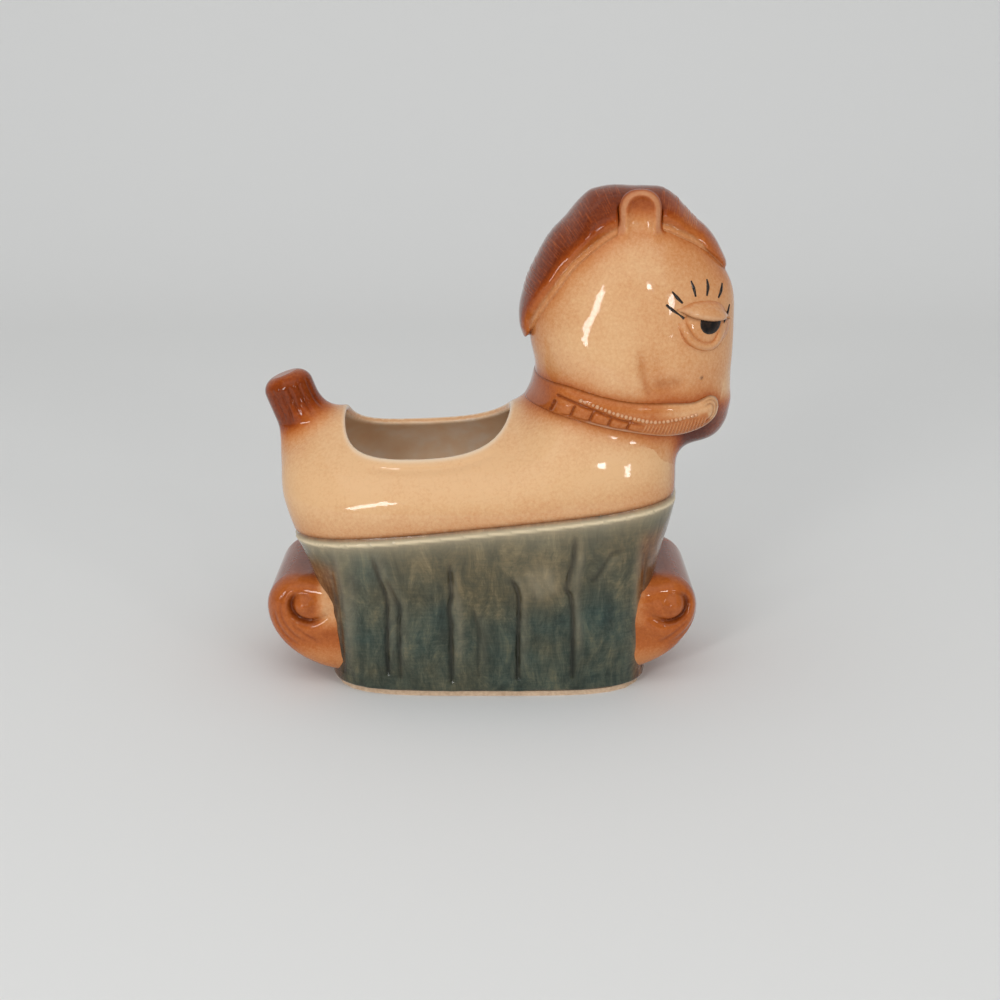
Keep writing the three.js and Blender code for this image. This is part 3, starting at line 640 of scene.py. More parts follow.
# Cloudy mix of two tones.
def plainMaterial(name, key, detail, stops, finish):
    material, tree, place = newMaterial(name)
    cloud = addNode(tree, "ShaderNodeTexNoise", {
        "Vector": place, "Scale": scaleOf(key), "Detail": detail})
    tone = addNode(tree, "ShaderNodeValToRGB", {0: cloud.outputs["Fac"]}, stops=stops)
    setInputs(tree, tree.nodes["Principled BSDF"], {"Base Color": tone.outputs[0], **finish})
    return material


glazes = {
    "cream_glaze": stainedGlaze("cream_glazed_earthenware"),
    "brown_glaze": stainedGlaze("brown_glazed_earthenware"),
    "blue_green_glaze": runnyGlaze("blue_green_glazed_earthenware"),
    # enamel of eyes and lashes, brushed so that brown shows through thin places
    "black_glaze": plainMaterial("black_enamel", "brush", 2.0, (
        (0.4, "#100c09"), (0.72, "#35251a")), {"Roughness": 0.2, "IOR": 1.52}),
}
# dry fired clay under the foot, chalky and a little sandy
clay = plainMaterial("bare_clay", "sand", 3.0, ((0.3, "#c2a284"), (0.7, "#dcc0a2")),
                     {"Roughness": 0.85})
print("glazes ready")

# Side-view lines of the trim, along and up

lines = {
    "maneEdge": curve([(2, 102.4), (7, 102.6), (10.6, 103.4), (12.2, 107), (13.6, 111),
                       (16.4, 115.8), (20, 121), (24.1, 126.6), (28.3, 130.6), (32.5, 133.9),
                       (36.5, 136.3), (42.7, 138.4), (50, 137.2), (54.1, 135.5), (58.7, 133.3),
                       (62.8, 130.7), (66.2, 127.8), (69, 124.8), (72.5, 124), (78, 123.6)], 4),
    "reinTop": curve([(0, 94.5), (9, 94.8), (16.9, 94.5), (22, 94.3), (26.8, 93.3), (33, 91.8),
                      (40.3, 90.5), (46.1, 90.1), (51.5, 89.9), (58, 89.5), (61.4, 90.2),
                      (63.6, 90.9), (65.6, 90.2), (66.8, 88.5), (67, 86.6)], 4),
    "reinFoot": curve([(0, 86), (7, 86.4), (14.1, 86.3), (18.9, 85.8), (24.9, 84.8), (29.9, 83.6),
                       (34, 82.6), (39, 81.6), (43.6, 80.7), (48.3, 79.8), (52.7, 79.2),
                       (57, 79.4), (61, 80.4), (64.3, 82), (66.4, 84.2), (67, 86.6)], 4),
    "beads": curve([(26, 90.9), (27.7, 90.4), (31.9, 89), (35.4, 87.7), (39.1, 86.6),
                    (42.5, 85.8), (44.8, 85.2), (47.9, 84.8), (50.8, 84.9), (53, 85.2),
                    (56, 85.6), (59.4, 86.2)], 6),
    "panelTop": curve([(19, 91.8), (22, 90.9), (26, 89.6), (31.5, 87.7), (35, 86.4), (38.7, 85.3),
                       (42.1, 84.5), (46, 83.7)], 5),
    "crease": curve([(42.1, 108), (42.3, 105.6), (42.8, 102.3), (43.5, 98.3), (44.5, 94.2),
                     (45.8, 91.2)], 4),
    "mouth": curve([(44.6, 94.6), (46.2, 95.4), (49.1, 95.8), (52.9, 96), (57.4, 95.9)], 4),
}
skirtEdge = {"height": 53.6, "slope": 0.1055, "proud": 0.85, "cove": 1.8, "fall": 3.6,
             "drawIn": 1.9, "lap": 6.5, "inset": 1.3}


def hemAt(x):
    return skirtEdge["height"] + skirtEdge["slope"] * x


# How far below the rein's upper edge and above its lower edge a place is.
def reinPlace(x, z):
    return -leftOf(lines["reinTop"], x, z), leftOf(lines["reinFoot"], x, z)


# Tail

tail = {"x": -54.9, "z": 72.0, "lean": 21.0, "length": 22.4, "radius": 7.5, "round": 4.4,
        "blend": 6.0, "sunk": 1.0, "rump": 78.0,
        "flutes": (-121, -101, -80, -56, -28, 20, 61, 97, 133), "fluteDepth": 0.45,
        "fluteWidth": 0.55, "fluteFoot": 7.5, "fluteTop": 1.6}


def tailFrame(x, y, z):
    lean = math.radians(tail["lean"])
    dx, dz = x - tail["x"], z - tail["z"]
    return dx * math.cos(lean) + dz * math.sin(lean), y, dz * math.cos(lean) - dx * math.sin(lean)


def tailStump(x, y, z):
    a, b, up = tailFrame(x, y, z)
    out = np.hypot(a, b) - (tail["radius"] - tail["round"])
    top = up - (tail["length"] - tail["round"])
    return (np.hypot(np.maximum(out, 0), np.maximum(top, 0)) + np.minimum(np.maximum(out, top), 0)
            - tail["round"])


def tailFlutes(x, y, z):
    a, b, up = tailFrame(x, y, z)
    turn = np.degrees(np.arctan2(b, a))
    fade = ease((up - tail["fluteFoot"]) / 5) * ease((tail["length"] - tail["fluteTop"] - up) / 4)
    groove = nought(x)
    for angle in tail["flutes"]:
        gap = np.radians((turn - angle + 180) % 360 - 180) * tail["radius"]
        groove += bell(gap / tail["fluteWidth"]) * fade
    return groove


# The trunk's distance is too short over the rump, where it mustn't swell the tail's rear side.
def tailJoined(x, y, z):
    stump = tailStump(x, y, z) + tail["fluteDepth"] * tailFlutes(x, y, z)
    base = trunk(x, y, z)
    over = 3 * ease(-tailFrame(x, y, z)[0] / 4) * np.maximum(z - tail["rump"], 0)
    return smoothMin(base + over, stump, tail["blend"]), base, stump


def tailField(x, y, z):
    joined, base, stump = tailJoined(x, y, z)
    return most(joined, -base - tail["sunk"], stump - 0.93 * tail["blend"])


def tailShade(x, y, z):
    return tailJoined(x, y, z)[0]


# how brown beside each trim, and how many millimetres the spray drifts from it
spray = {"mane": 0.3, "maneReach": 3.4, "rein": 0.46, "reinReach": 2.4, "reinFarther": 0.8,
         "reinFootReach": 2.6, "nape": 0.34, "tailReach": 4.0, "most": 0.9}


def tailSpray(x, y, z):
    up = tailFrame(x, y, z)[2]
    near = np.exp(-np.maximum(tailStump(x, y, z), 0) / spray["tailReach"])
    return near * (0.46 + 0.38 * ease((up - 3) / 7) - 0.14 * ease((up - 18.5) / 4))


# How brown the cream is: sprayed stain from the trim nearby, with painted shade under the chin and
# over the front of the head.
def sprayAt(x, y, z):
    inMane = np.minimum(leftOf(lines["maneEdge"], x, z), 0)
    mane = np.exp(inMane / spray["maneReach"]) * spray["mane"] * ease((z - 96) / 8) * (x > 0)
    under, over = reinPlace(x, z)
    ahead, onHead = ease((x - 30) / 30), ease((x - 6) / 6)
    above = np.exp(np.minimum(under, 0) / (spray["reinReach"] + spray["reinFarther"] * ahead))
    below = np.exp(np.minimum(over, 0) / spray["reinFootReach"])
    strap = np.minimum(above, below) * spray["rein"] * onHead
    # chin: sprayed stain under the rein's end, its lowest part painted shade; cheek: painted shade
    # over the head, more towards the front
    chin = (0.62 * ease((92 - z) / 8) + 0.2 * ease((87 - z) / 5)) * ease((x - 51) / 8)
    nape = spray["nape"] * bell((x - 11) / 9) * bell((z - 92) / 7)
    cheek = (0.07 + 0.1 * ahead) * ease((z - 90) / 10) * onHead
    blend = 1 - (1 - mane) * (1 - strap) * (1 - chin) * (1 - nape) * (1 - cheek)
    return np.clip(np.maximum(blend, tailSpray(x, y, z)), 0, spray["most"])


# Body

mouth = {"rear": -43.7, "front": 6.0, "dip": 73.0, "depth": 10.4, "lip": 1.3, "slope": 0.4,
         "fold": 0.5, "foldAt": 2.8, "foldWidth": 0.8, "foldRear": -38.0, "foldFront": 4.0}
shell = {"wall": 3.2, "floor": 5.0, "cove": 8.0, "foot": 1.8}


# Side view of the rim, from corners as shares of its run and depth.
def rimLine():
    run = mouth["front"] - mouth["rear"]
    corner = lambda a, b: np.array([mouth["rear"] + a * run, mouth["dip"] + b * mouth["depth"]])
    rear = bezier(corner(0, 1), corner(0, 0.24), corner(0.07, 0), corner(0.34, 0), 15)
    front = bezier(corner(0.34, 0), corner(0.65, 0.02), corner(0.94, 0.1), corner(1, 1.1), 15)
    return np.vstack([corner(0, 8), rear, front[1:], corner(1, 8)])


lines["rim"] = rimLine()


def hollow(z, hide, thin):
    return smoothMax(hide + shell["wall"] - thin, shell["floor"] - z, shell["cove"])


# The inner wall takes the pale inside colour from a little within the skin: painted light in the
# pot's shaded hollow.
def insideAt(hide):
    return ease((-hide - 2.2) / 0.7)


# The body runs on behind the skirt's hem, where it draws in.
def bodyField(x, y, z):
    hide = trunk(x, y, z)
    below = hemAt(x) - z
    past = leftOf(lines["rim"], x, z)
    fold = (mouth["fold"] * bell((np.abs(past) - mouth["foldAt"]) / mouth["foldWidth"])
            * ease((x - mouth["foldRear"]) / 8) * ease((mouth["foldFront"] - x) / 8))
    outer = hide + fold + skirtEdge["drawIn"] * ease((below + skirtEdge["drawIn"]) / 1.1)
    cast = smoothMax(outer, -hollow(z, hide, ease((below - 4) / 3)), 0.8)
    cast = smoothMax(cast, past - mouth["slope"] * np.clip(hide, -4, 0), mouth["lip"])
    return np.maximum(cast, below - skirtEdge["lap"])


def bodyPaint(x, y, z):
    hide = trunk(x, y, z)
    gap = nearest(lines["rim"], x, z)[0]
    # low: browner and darker towards the hem, painted shade; crease: dark fold over the skirt's
    # cove, partly glaze pooled there and partly painted shade
    low = np.clip(1 - (z - hemAt(x)) / 13, 0, 1) ** 1.5
    outerEdge = bell((gap - 0.3) / 0.6) * (hide > -1.0)
    innerEdge = bell((hide + shell["wall"] - 0.3) / 0.5) * (gap < 1.2)
    crease = bell((z - hemAt(x) - skirtEdge["cove"]) / 0.6)
    lip = (gap < 1.4) * ease((-hide - 0.6) / 0.6) * (1 - innerEdge)
    return {"brown": np.clip(sprayAt(x, y, z) + 0.22 * low + 0.1 * crease + 0.12 * lip, 0, 1),
            "thin": np.clip(0.75 * outerEdge + 0.6 * innerEdge, 0, 0.85),
            "dark": (0.45 * crease + 0.13 * low) * (hide > -1),
            "inside": insideAt(hide) * (gap > 0.9)}


# Skirt: the hem stands proud over a cove, and folds like a cloth's are pressed into the sides

# path, depth, width, how soon it fades in
pleats = [
    (curve([(-36.5, 50), (-34.9, 46), (-32.8, 38.6), (-30.9, 32.4), (-30.8, 25.5), (-31, 18),
            (-31, 6)]), 1.0, 0.8, 0.22),
    (curve([(-31.6, 40.5), (-30.7, 38.3), (-28.8, 33.5), (-26.9, 28.9), (-27.3, 24.7), (-27.4, 16),
            (-27.2, 5)]), 0.75, 0.7, 0.12),
    (curve([(-12.2, 47), (-11.9, 41.2), (-11.7, 36.6), (-11.7, 32.7), (-12.4, 29.1), (-11.8, 23.2),
            (-11.9, 12), (-11.9, 4)]), 1.15, 0.95, 0.2),
    (curve([(-5.5, 33), (-5, 28), (-3.6, 22), (-3.9, 15), (-3.8, 6)]), 0.5, 0.8, 0.3),
    (curve([(5.4, 41), (6.5, 37.9), (7.7, 35.6), (8.3, 32.3), (8.3, 27.8), (8.1, 19.3), (8, 5)]),
     1.1, 0.85, 0.12),
    (curve([(24.8, 54), (24.5, 48.4), (24, 43.9), (22.4, 35.7), (23.6, 33.1), (24.3, 27.2),
            (24.5, 19), (24.6, 5)]), 1.0, 0.95, 0.1),
    (curve([(41, 47.6), (37.5, 46.8), (34.8, 45.5), (31.8, 39.6), (29.4, 37.4)]), 0.6, 1.0, 0.3),
    (curve([(12.7, 40), (12.7, 38.9), (12.7, 34.6), (12.8, 32)]), 0.4, 0.6, 0.3),
    (curve([(-45.2, 46), (-47, 41), (-46.6, 34), (-45.6, 26), (-45, 16),
            (-45, 4)]), 0.5, 0.6, 0.2),
    (curve([(46, 46), (45.6, 40), (45.4, 32), (45.8, 24), (46, 14), (46, 4)]), 0.5, 0.6, 0.2),
]
# path, height, width
ridges = [
    (curve([(-10.9, 41), (-10.8, 36.6), (-10, 33.3), (-9.4, 30.1), (-9.2, 20),
            (-9.4, 8)]), 0.55, 1.1),
    (curve([(27, 52), (26.8, 50.5), (25.8, 42.2), (25.1, 35), (26, 24), (26.4, 10)]), 0.65, 1.3),
    (curve([(-46.6, 51), (-45.8, 49), (-44.4, 39.1), (-43.4, 30.6), (-42.4, 16.3), (-42, 4)]),
     0.5, 1.2),
    (curve([(44.2, 54), (44, 49.9), (43.4, 43.2), (43.4, 36.4), (43.9, 26.2), (44.3, 15.6),
            (44.3, 4)]), 0.45, 1.2),
    (curve([(11, 42), (12.6, 37), (15, 33), (17, 31.5)]), 0.35, 1.6),
    (curve([(16, 43), (17.4, 37), (19.5, 33)]), 0.35, 1.4),
]
# along and up, half length and half height, then how much greener or barer the glaze is there; the
# second bare blot, narrow and upright, is a painted highlight
greenBlots = [(30, 27, 9, 9, 0.55), (-38, 43, 8, 11, 0.6), (-20, 27, 12, 8, 0.3),
              (15, 37, 7, 7, -0.55), (0, 42, 12, 7, -0.4), (-17, 45, 8, 5, -0.2)]
bareAndHighlightBlots = [(15, 38, 6, 6, 0.13), (-41.5, 30, 1.6, 12, 0.08)]


# Height over the skin, and how much of it is crease and fold.
def skirtRelief(x, y, z):
    below = hemAt(x) - z
    rise = np.clip(-below / skirtEdge["cove"], 0, 1)
    edge = np.sqrt(below ** 2 + 0.3) - 0.55
    flank = ease((np.abs(y) - 15) / 6)
    proud = skirtEdge["proud"] * (0.4 + 0.6 * flank)
    hem = np.where(below > 0, proud * np.exp(-np.maximum(edge, 0) / skirtEdge["fall"]),
                   proud - skirtEdge["inset"] * (1 - (1 - rise) ** 2) * ease(rise / 0.35))
    press, lift = nought(x), nought(x)
    for path, depth, width, fade in pleats:
        press = most(press, depth * stroke(path, width, x, z, fade, 0.05),
                     0.35 * depth * stroke(path, 2.4, x, z, fade, 0.05, off=-1.5))
        lift = np.maximum(lift, 0.34 * depth * stroke(path, 1.2, x, z, fade, 0.3, off=1.6))
    for path, height, width in ridges:
        lift = np.maximum(lift, height * stroke(path, width, x, z, 0.2, 0.3))
    uneven = 0.8 + 0.2 * np.sin(0.55 * z + 0.9 * x) * np.sin(0.31 * z - 0.4 * x + 1)
    press, lift = press * uneven, lift * uneven
    bent = x + 1.2 * np.sin(0.35 * z + 0.2 * x)
    wave = (0.3 * np.sin(0.21 * x + 0.08 * z + 0.6) * np.sin(0.13 * z + 0.11 * x)
            + 0.14 * np.sin(0.47 * x - 0.1 * z + 1.1) * np.sin(0.23 * z + 0.2 * x + 2)
            + 0.1 * np.sin(1.15 * bent + 0.25 * z) * np.sin(0.5 * z - 0.33 * x))
    height = hem + flank * (lift - press) + ease(below / 9) * flank * wave
    return height, press * flank, lift * flank


def skirtField(x, y, z):
    hide = trunk(x, y, z)
    below = hemAt(x) - z
    outer = hide - skirtRelief(x, y, z)[0]
    cast = smoothMax(outer, -hollow(z, hide, ease((6.2 - below) / 3)), 0.5)
    cast = smoothMax(cast, shell["foot"] - z, 1.2)
    return np.maximum(cast, -below - skirtEdge["cove"])


def blot(x, z, atX, atZ, long, tall):
    return bell(np.hypot((x - atX) / long, (z - atZ) / tall))


def skirtPaint(x, y, z):
    below = hemAt(x) - z
    _, press, lift = skirtRelief(x, y, z)
    # core and press darken the pleats: partly glaze pooled in them and partly painted shade on
    # their pressed side
    core = nought(x)
    for path, depth, _, fade in pleats:
        core = np.maximum(core, np.minimum(depth, 1) * stroke(path, 0.75, x, z, fade, 0.05))
    edge = bell((below - 0.1) / 0.75)
    cove = ease((-below - 0.3) / 0.8)
    band = 0.32 * np.exp(-np.maximum(below, 0) / 2.2) + 0.13 * np.exp(-np.maximum(below, 0) / 9)
    end = np.maximum(ease((-42.5 - x) / 7), ease((x - 41.5) / 5))
    green = 0.2 + 0.42 * ease((38 - z) / 18)
    for *place, more in greenBlots:
        green = green + more * blot(x, z, *place)
    bareAndHighlight = sum(more * blot(x, z, *place) for *place, more in bareAndHighlightBlots)
    # 0.2 of the ridges' lift and the narrow upright blot pale the glaze as painted highlight
    pale = np.maximum(0.92 * edge + 0.12 * cove, band * (below > -0.3)) + 0.2 * lift + bareAndHighlight
    return {"brown": np.clip(0.75 * end * ease((below - 3) / 9) + 0.95 * cove, 0, 1),
            "thin": np.clip(pale, 0, 0.95),
            "dark": np.clip(0.8 * core + 0.35 * press, 0, 0.9),
            "green": np.clip(green, 0, 1),
            "inside": insideAt(trunk(x, y, z)) * (z > 3)}


# Head

face = {"cheek": 0.75, "muzzle": 0.45, "muzzleX": 57.0, "muzzleZ": 100.0, "mouth": 0.2,
        "nostril": 0.5, "nostrilX": 61.1, "nostrilZ": 96.5, "sunk": 1.2}


# Soft upright band beside the cheek's crease, so far to the front of it and so wide.
def creaseAt(x, z, off, width):
    line = lines["crease"][::-1]
    fade = ease((109 - z) / 10) * ease((z - 90) / 5)
    return bell((x - np.interp(z, line[:, 1], line[:, 0]) - off) / width) * fade


def nostrilAt(x, z, width):
    return bell(np.hypot(x - face["nostrilX"], z - face["nostrilZ"]) / width)


# The cheek swells towards its crease and drops off to the muzzle.
def headRelief(x, y, z):
    flank = ease(np.abs(y) / 12)
    step, drop, swell = creaseAt(x, z, 0, 1.5), creaseAt(x, z, 4.5, 4), creaseAt(x, z, -5, 4.5)
    lips = face["mouth"] * stroke(lines["mouth"], 2.0, x, z, 0.3, 0.3)
    muzzle = face["muzzle"] * bell((x - face["muzzleX"]) / 9) * bell((z - face["muzzleZ"]) / 8)
    pin = face["nostril"] * nostrilAt(x, z, 0.45)
    return flank * (muzzle + face["cheek"] * (0.45 * swell - 0.5 * drop - 0.45 * step) - lips - pin)


def headField(x, y, z):
    hide, base = skull(x, y, z), trunk(x, y, z)
    joined = smoothMin(hide - headRelief(x, y, z), base, neck["blend"])
    return most(joined, -base - face["sunk"], hide - 0.93 * neck["blend"])


def headShade(x, y, z):
    return smoothMin(skull(x, y, z) - headRelief(x, y, z), trunk(x, y, z), neck["blend"])


def headPaint(x, y, z):
    # The cheek's crease, the band to its front, the mouth line, the nostril and the lower muzzle
    # are browned and darkened as painted shade.
    crease, beside = creaseAt(x, z, 0.2, 1.2), creaseAt(x, z, 4, 3.6)
    mouthShadow = stroke(lines["mouth"], 1.6, x, z, 0.4, 0.4)
    low = 0.14 * ease((99 - z) / 9) * ease((x - 38) / 12) * ease((72 - x) / 14)
    stain = sprayAt(x, y, z) + 0.14 * crease + 0.1 * beside + 0.08 * mouthShadow + low
    paintedShade = 0.1 * crease + 0.03 * beside + 0.14 * mouthShadow + 0.85 * nostrilAt(x, z, 0.42)
    return {"brown": np.clip(stain, 0, 1), "dark": np.clip(paintedShade, 0, 1)}


# Ears: an arch with a scooped front

ear = {"width": 12.4, "depth": 7.0, "round": 6.4, "rise": 2.4, "farRise": 0.4, "spread": 12.8,
       "hollow": 2.7, "hollowWidth": 8.2, "hollowRound": 5.0, "brow": 1.7, "power": 2.3,
       "blend": 1.6, "at": 42.7, "sunk": 0.8}


def earFrame(x, y, z):
    rise = np.where(y < 0, ear["rise"], ear["farRise"])
    return x - ear["at"], np.abs(y) - ear["spread"], z - head["top"] - rise


def arch(width, depth, tall):
    def share(a, b, c):
        ring = np.hypot(2 * a / width, 2 * b / depth)
        up = np.maximum(c / tall + 1, 0)
        return (ring ** ear["power"] + up ** ear["power"]) ** (1 / ear["power"]) - 1
    return share


def earScoop(a, b, c):
    bowl = arch(ear["hollowWidth"], 2 * ear["hollow"], ear["hollowRound"])
    return distance(bowl, a, b - ear["depth"] / 2, c + ear["brow"])


def earWhole(a, b, c):
    return distance(arch(ear["width"], ear["depth"], ear["round"]), a, b, c)


def earLobe(x, y, z):
    place = earFrame(x, y, z)
    return smoothMax(earWhole(*place), -earScoop(*place), 0.9)


def earField(x, y, z):
    hide, lobe = skull(x, y, z), earLobe(x, y, z)
    joined = smoothMin(hide, lobe, ear["blend"])
    return most(joined, -hide - ear["sunk"], lobe - 0.92 * ear["blend"], 2 - np.abs(y))


def earShade(x, y, z):
    return smoothMin(skull(x, y, z), earLobe(x, y, z), ear["blend"])


# Distance from the ear and from all that lies outwards of it, before its scoop.
def earClear(x, y, z):
    a, b, c = earFrame(x, y, z)
    return earWhole(a, np.minimum(b, 0), c)


def earPaint(x, y, z):
    a, b, c = earFrame(x, y, z)
    scoop = ease((0.7 - earScoop(a, b, c)) / 0.6)
    deep = 0.24 + 0.38 * ease((c + 10.5) / 7.5)
    brow = ease((b - 0.8) / 1.2)
    wall = 0.66 - 0.22 * brow
    foot = ease((c + 13.2) / 2)
    stain = foot * (scoop * deep + (1 - scoop) * wall) + (1 - foot) * sprayAt(x, y, z)
    return {"brown": np.clip(stain, 0, 1), "thin": 0.14 * brow * (1 - scoop) * foot}


# Mane and forelock: a plain lip along the face, then a thick roll of combed hair

hair = {"lip": 2.3, "lipRise": 0.8, "roll": 4.6, "split": 42.7, "under": 0.3, "lap": 1.5,
        "depth": 0.8, "browTip": 122.8, "napeTip": 100.6, "pitch": 0.64, "strand": 0.22,
        "sunk": 0.12, "earGap": 0.7, "seed": 4}
# along, height over the skin
hairRises = curve([(9, 2.7), (14, 2.8), (18, 2.8), (22, 2.6), (26, 3.7), (29, 4.1), (33, 3.3),
                   (41, 2.1), (46, 2.4), (50, 3.1), (54, 2.9), (57, 2.2), (60, 1.9), (63, 2.1),
                   (66, 2.0), (68, 1.8), (73, 1.4)])


# The hair's edge on the skin, from the nape over the near side to the brow.
def edgeInSpace():
    x, z = lines["maneEdge"].T
    on = skull(x, nought(x), z) < 0
    x, z = x[on], z[on]
    path = np.stack([x, sideAt(skull, x, z), z], axis=1)
    return np.vstack([path[0] * [1, 0, 1], path, path[-1] * [1, 0, 1]])


hairEdge = edgeInSpace()


# Height over the skin, and how far in from the hair's edge a place is.
def hairHeight(x, y, z):
    gap, _, side = nearest(lines["maneEdge"], x, z)
    ends = np.maximum(ease((x - 57) / 9), ease((113 - z) / 8) * (x < 30))
    inward = side * np.minimum((1.6 - 0.85 * ends) * gap, pathGap(hairEdge, x, y, z))
    rise, lip = np.interp(x, *hairRises.T), hair["lip"] * (1 - ends)
    roll = 1 - (1 - np.clip((inward - lip) / hair["roll"], 0, 1)) ** 2.4
    height = hair["lipRise"] * ease(inward / 1.3) + (rise - hair["lipRise"]) * roll
    tip = np.where(x > 50, ease((z - hair["browTip"]) / 6), ease((z - hair["napeTip"]) / 4.5))
    return height * tip, inward + hair["lip"] - lip


def hairSkin(x, y, z):
    return skull(x, y, z) - hairHeight(x, y, z)[0]


# The hair stops at the ears.
def besideEars(field, x, y, z):
    return smoothMax(field, 0.1 - earClear(x, y, z), 0.9)


def hairShade(x, y, z):
    return besideEars(hairSkin(x, y, z), x, y, z)


def hairField(x, y, z, lower=0.0):
    hide = skull(x, y, z)
    height = hairHeight(x, y, z)[0]
    band = besideEars(hide - height + lower, x, y, z)
    past = -leftOf(lines["maneEdge"], x, z)
    return most(band, -hide - hair["depth"], past - 0.05, 0.12 - 4 * height)


def maneField(x, y, z):
    return np.maximum(hairField(x, y, z), x - hair["split"])


# The forelock runs on a little under the mane, so that the two meet without a gap.
def forelockField(x, y, z):
    tuck = hair["under"] * ease((hair["split"] - x) / 0.8)
    return np.maximum(hairField(x, y, z, tuck), hair["split"] - hair["lap"] - x)


def hairPaint(x, y, z):
    inward = hairHeight(x, y, z)[1]
    past = inward - hair["lip"]
    deep = ease((past + 0.4) / 5.5)
    tip = ease((x - 46) / 14)
    stain = 0.3 + 0.2 * ease((past + 0.4) / 1.2) + (0.38 - 0.24 * tip) * deep
    # dark: painted shade along the hair's edge and where the lip meets the roll
    return {"brown": np.clip(stain, 0, 1),
            "dark": 0.12 * bell((inward - 0.3) / 0.45) + 0.2 * bell(past / 0.5)}


# Strands from lip to lip over the crest, stopping short of the ears.
def hairStrands():
    path = hairEdge[:, ::2]
    along = lengths(path)
    rng = np.random.default_rng(hair["seed"])
    stations = np.arange(1.0, along[-1] - 1.0, hair["pitch"])
    stations += rng.uniform(-0.2, 0.2, len(stations)) * hair["pitch"]
    on = lambda far: np.stack([np.interp(far, along, path[:, i]) for i in (0, 1)], axis=1)
    ahead = on(stations + 0.8) - on(stations - 0.8)
    ahead /= np.linalg.norm(ahead, axis=1)[:, None]
    outward = np.stack([-ahead[:, 1], ahead[:, 0]], axis=1)
    start = on(stations) + (hair["lip"] + 0.3) * outward
    keep = skull(start[:, 0], nought(start[:, 0]), start[:, 1]) < -2
    start, ahead, outward = start[keep], ahead[keep], outward[keep]
    turn = np.linspace(0.02, 0.98, 37) * math.pi
    lean = rng.normal(0, 0.5, len(start))[:, None] * np.sin(turn)
    x0, z0 = (start[:, i:i + 1] + ahead[:, i:i + 1] * lean for i in (0, 1))
    dx, dz = (outward[:, i:i + 1] * np.sin(turn) for i in (0, 1))
    dy = -np.cos(turn) + 0 * lean
    spots = lambda reach: np.stack([x0 + reach * dx, reach * dy, z0 + reach * dz], axis=-1)
    over = lambda reach: (hairSkin(*spots(reach).reshape(-1, 3).T) > 0).reshape(reach.shape)
    points = spots(bisect(over, nought(lean), np.full(lean.shape, 45.0), 26) - hair["sunk"])
    free = (earClear(*points.reshape(-1, 3).T) > hair["earGap"]).reshape(lean.shape)
    middle = len(turn) // 2
    paths, tapers = [], []
    for row, clear, bold in zip(points, free, rng.uniform(0.55, 1.1, len(points))):
        if not clear[middle]:
            continue
        first = middle - np.argmin(np.append(clear[middle::-1], False)) + 1
        last = middle + np.argmin(np.append(clear[middle:], False))
        count = np.arange(last - first) + 0.5
        if len(count) > 5:
            paths.append(row[first:last])
            tapers.append(bold * (0.3 + 0.7 * ease(count / 4) * ease((len(count) - count) / 4)))
    return paths, tapers


def strandPaint(x, y, z):
    marks = hairPaint(x, y, z)
    uneven = 0.1 * np.sin(1.9 * x + 1.3 * z) * np.sin(0.8 * y)
    marks["brown"] = np.clip(marks["brown"] - 0.1 + uneven, 0, 1)
    return marks


# Rein: a fat roll with a row of beads, square panels below it at the back and fine ribs in front

rein = {"rise": 2.3, "roll": 4.2, "depth": 0.8, "groove": 0.7, "pad": 0.35, "panels": 5,
        "panelPitch": 5.1, "panelFrom": 20.0, "panelLean": 0.4, "beadPitch": 1.22,
        "beadRadius": 0.56, "ribPitch": 1.05, "ribs": (45, 63), "ribLean": 1.2, "rib": 0.38,
        "ribEnds": 0.9, "seed": 7}


def reinHeight(x, z):
    under, over = reinPlace(x, z)
    inside = np.minimum(under, over)
    rounded = np.sqrt(np.clip(1 - (1 - np.clip(inside / rein["roll"], 0, 1)) ** 2, 0, 1))
    start = 0.14 + 0.86 * ease((x - 10) / 12)
    panel, pad = nought(x), nought(x)
    low = ease((over - 0.4) / 0.4) * ease((4.6 - over) / 0.5)
    for i in range(rein["panels"]):
        line = rein["panelFrom"] + rein["panelPitch"] * i
        past = x - line - rein["panelLean"] * (z - 90.9 + 0.36 * (line - 26))
        panel = np.maximum(panel, bell(past / 0.42) * low)
        pad = np.maximum(pad, np.clip(1 - (past / rein["panelPitch"] * 2 - 1) ** 2, 0, 1) * low)
    bar = stroke(lines["panelTop"], 0.42, x, z, 0.02, 0.2) * ease((47 - x) / 2)
    sill = bell((over - 0.9) / 0.3) * ease((x - 19) / 3) * ease((44 - x) / 2)
    hook = (bell((inside - 1.0) / 0.26) + bell((inside - 2.0) / 0.26)) * ease((x - 61) / 2.5)
    grooves = most(panel, bar, 0.7 * sill, 0.7 * hook)
    height = rein["rise"] * rounded * start + rein["pad"] * pad - rein["groove"] * grooves
    return height, grooves, under, over


def reinSkin(x, y, z):
    return bust(x, y, z) - reinHeight(x, z)[0]


def reinField(x, y, z):
    base = bust(x, y, z)
    height, _, under, over = reinHeight(x, z)
    return most(base - height, -base - rein["depth"], -np.minimum(under, over) - 0.05)


def reinPaint(x, y, z):
    _, grooves, under, over = reinHeight(x, z)
    nape, front = ease((24 - x) / 10), ease((x - 44) / 14)
    # front pales the upper half of the rein's front as painted highlight; grooves and the band's
    # edges are browned and darkened as painted shade
    stain = 0.44 - 0.32 * front * ease((5 - under) / 2) + 0.16 * nape + 0.16 * grooves
    return {"brown": np.clip(stain, 0, 1),
            "thin": 0.3 * bell((over - 0.5) / 0.35) * ease((x - 26) / 4),
            "dark": 0.45 * bell(np.minimum(under, over) / 0.35) + 0.26 * grooves}


def reinBeads():
    x, z = lines["beads"].T
    return [np.stack([x, sideAt(reinSkin, x, z), z], axis=1)]


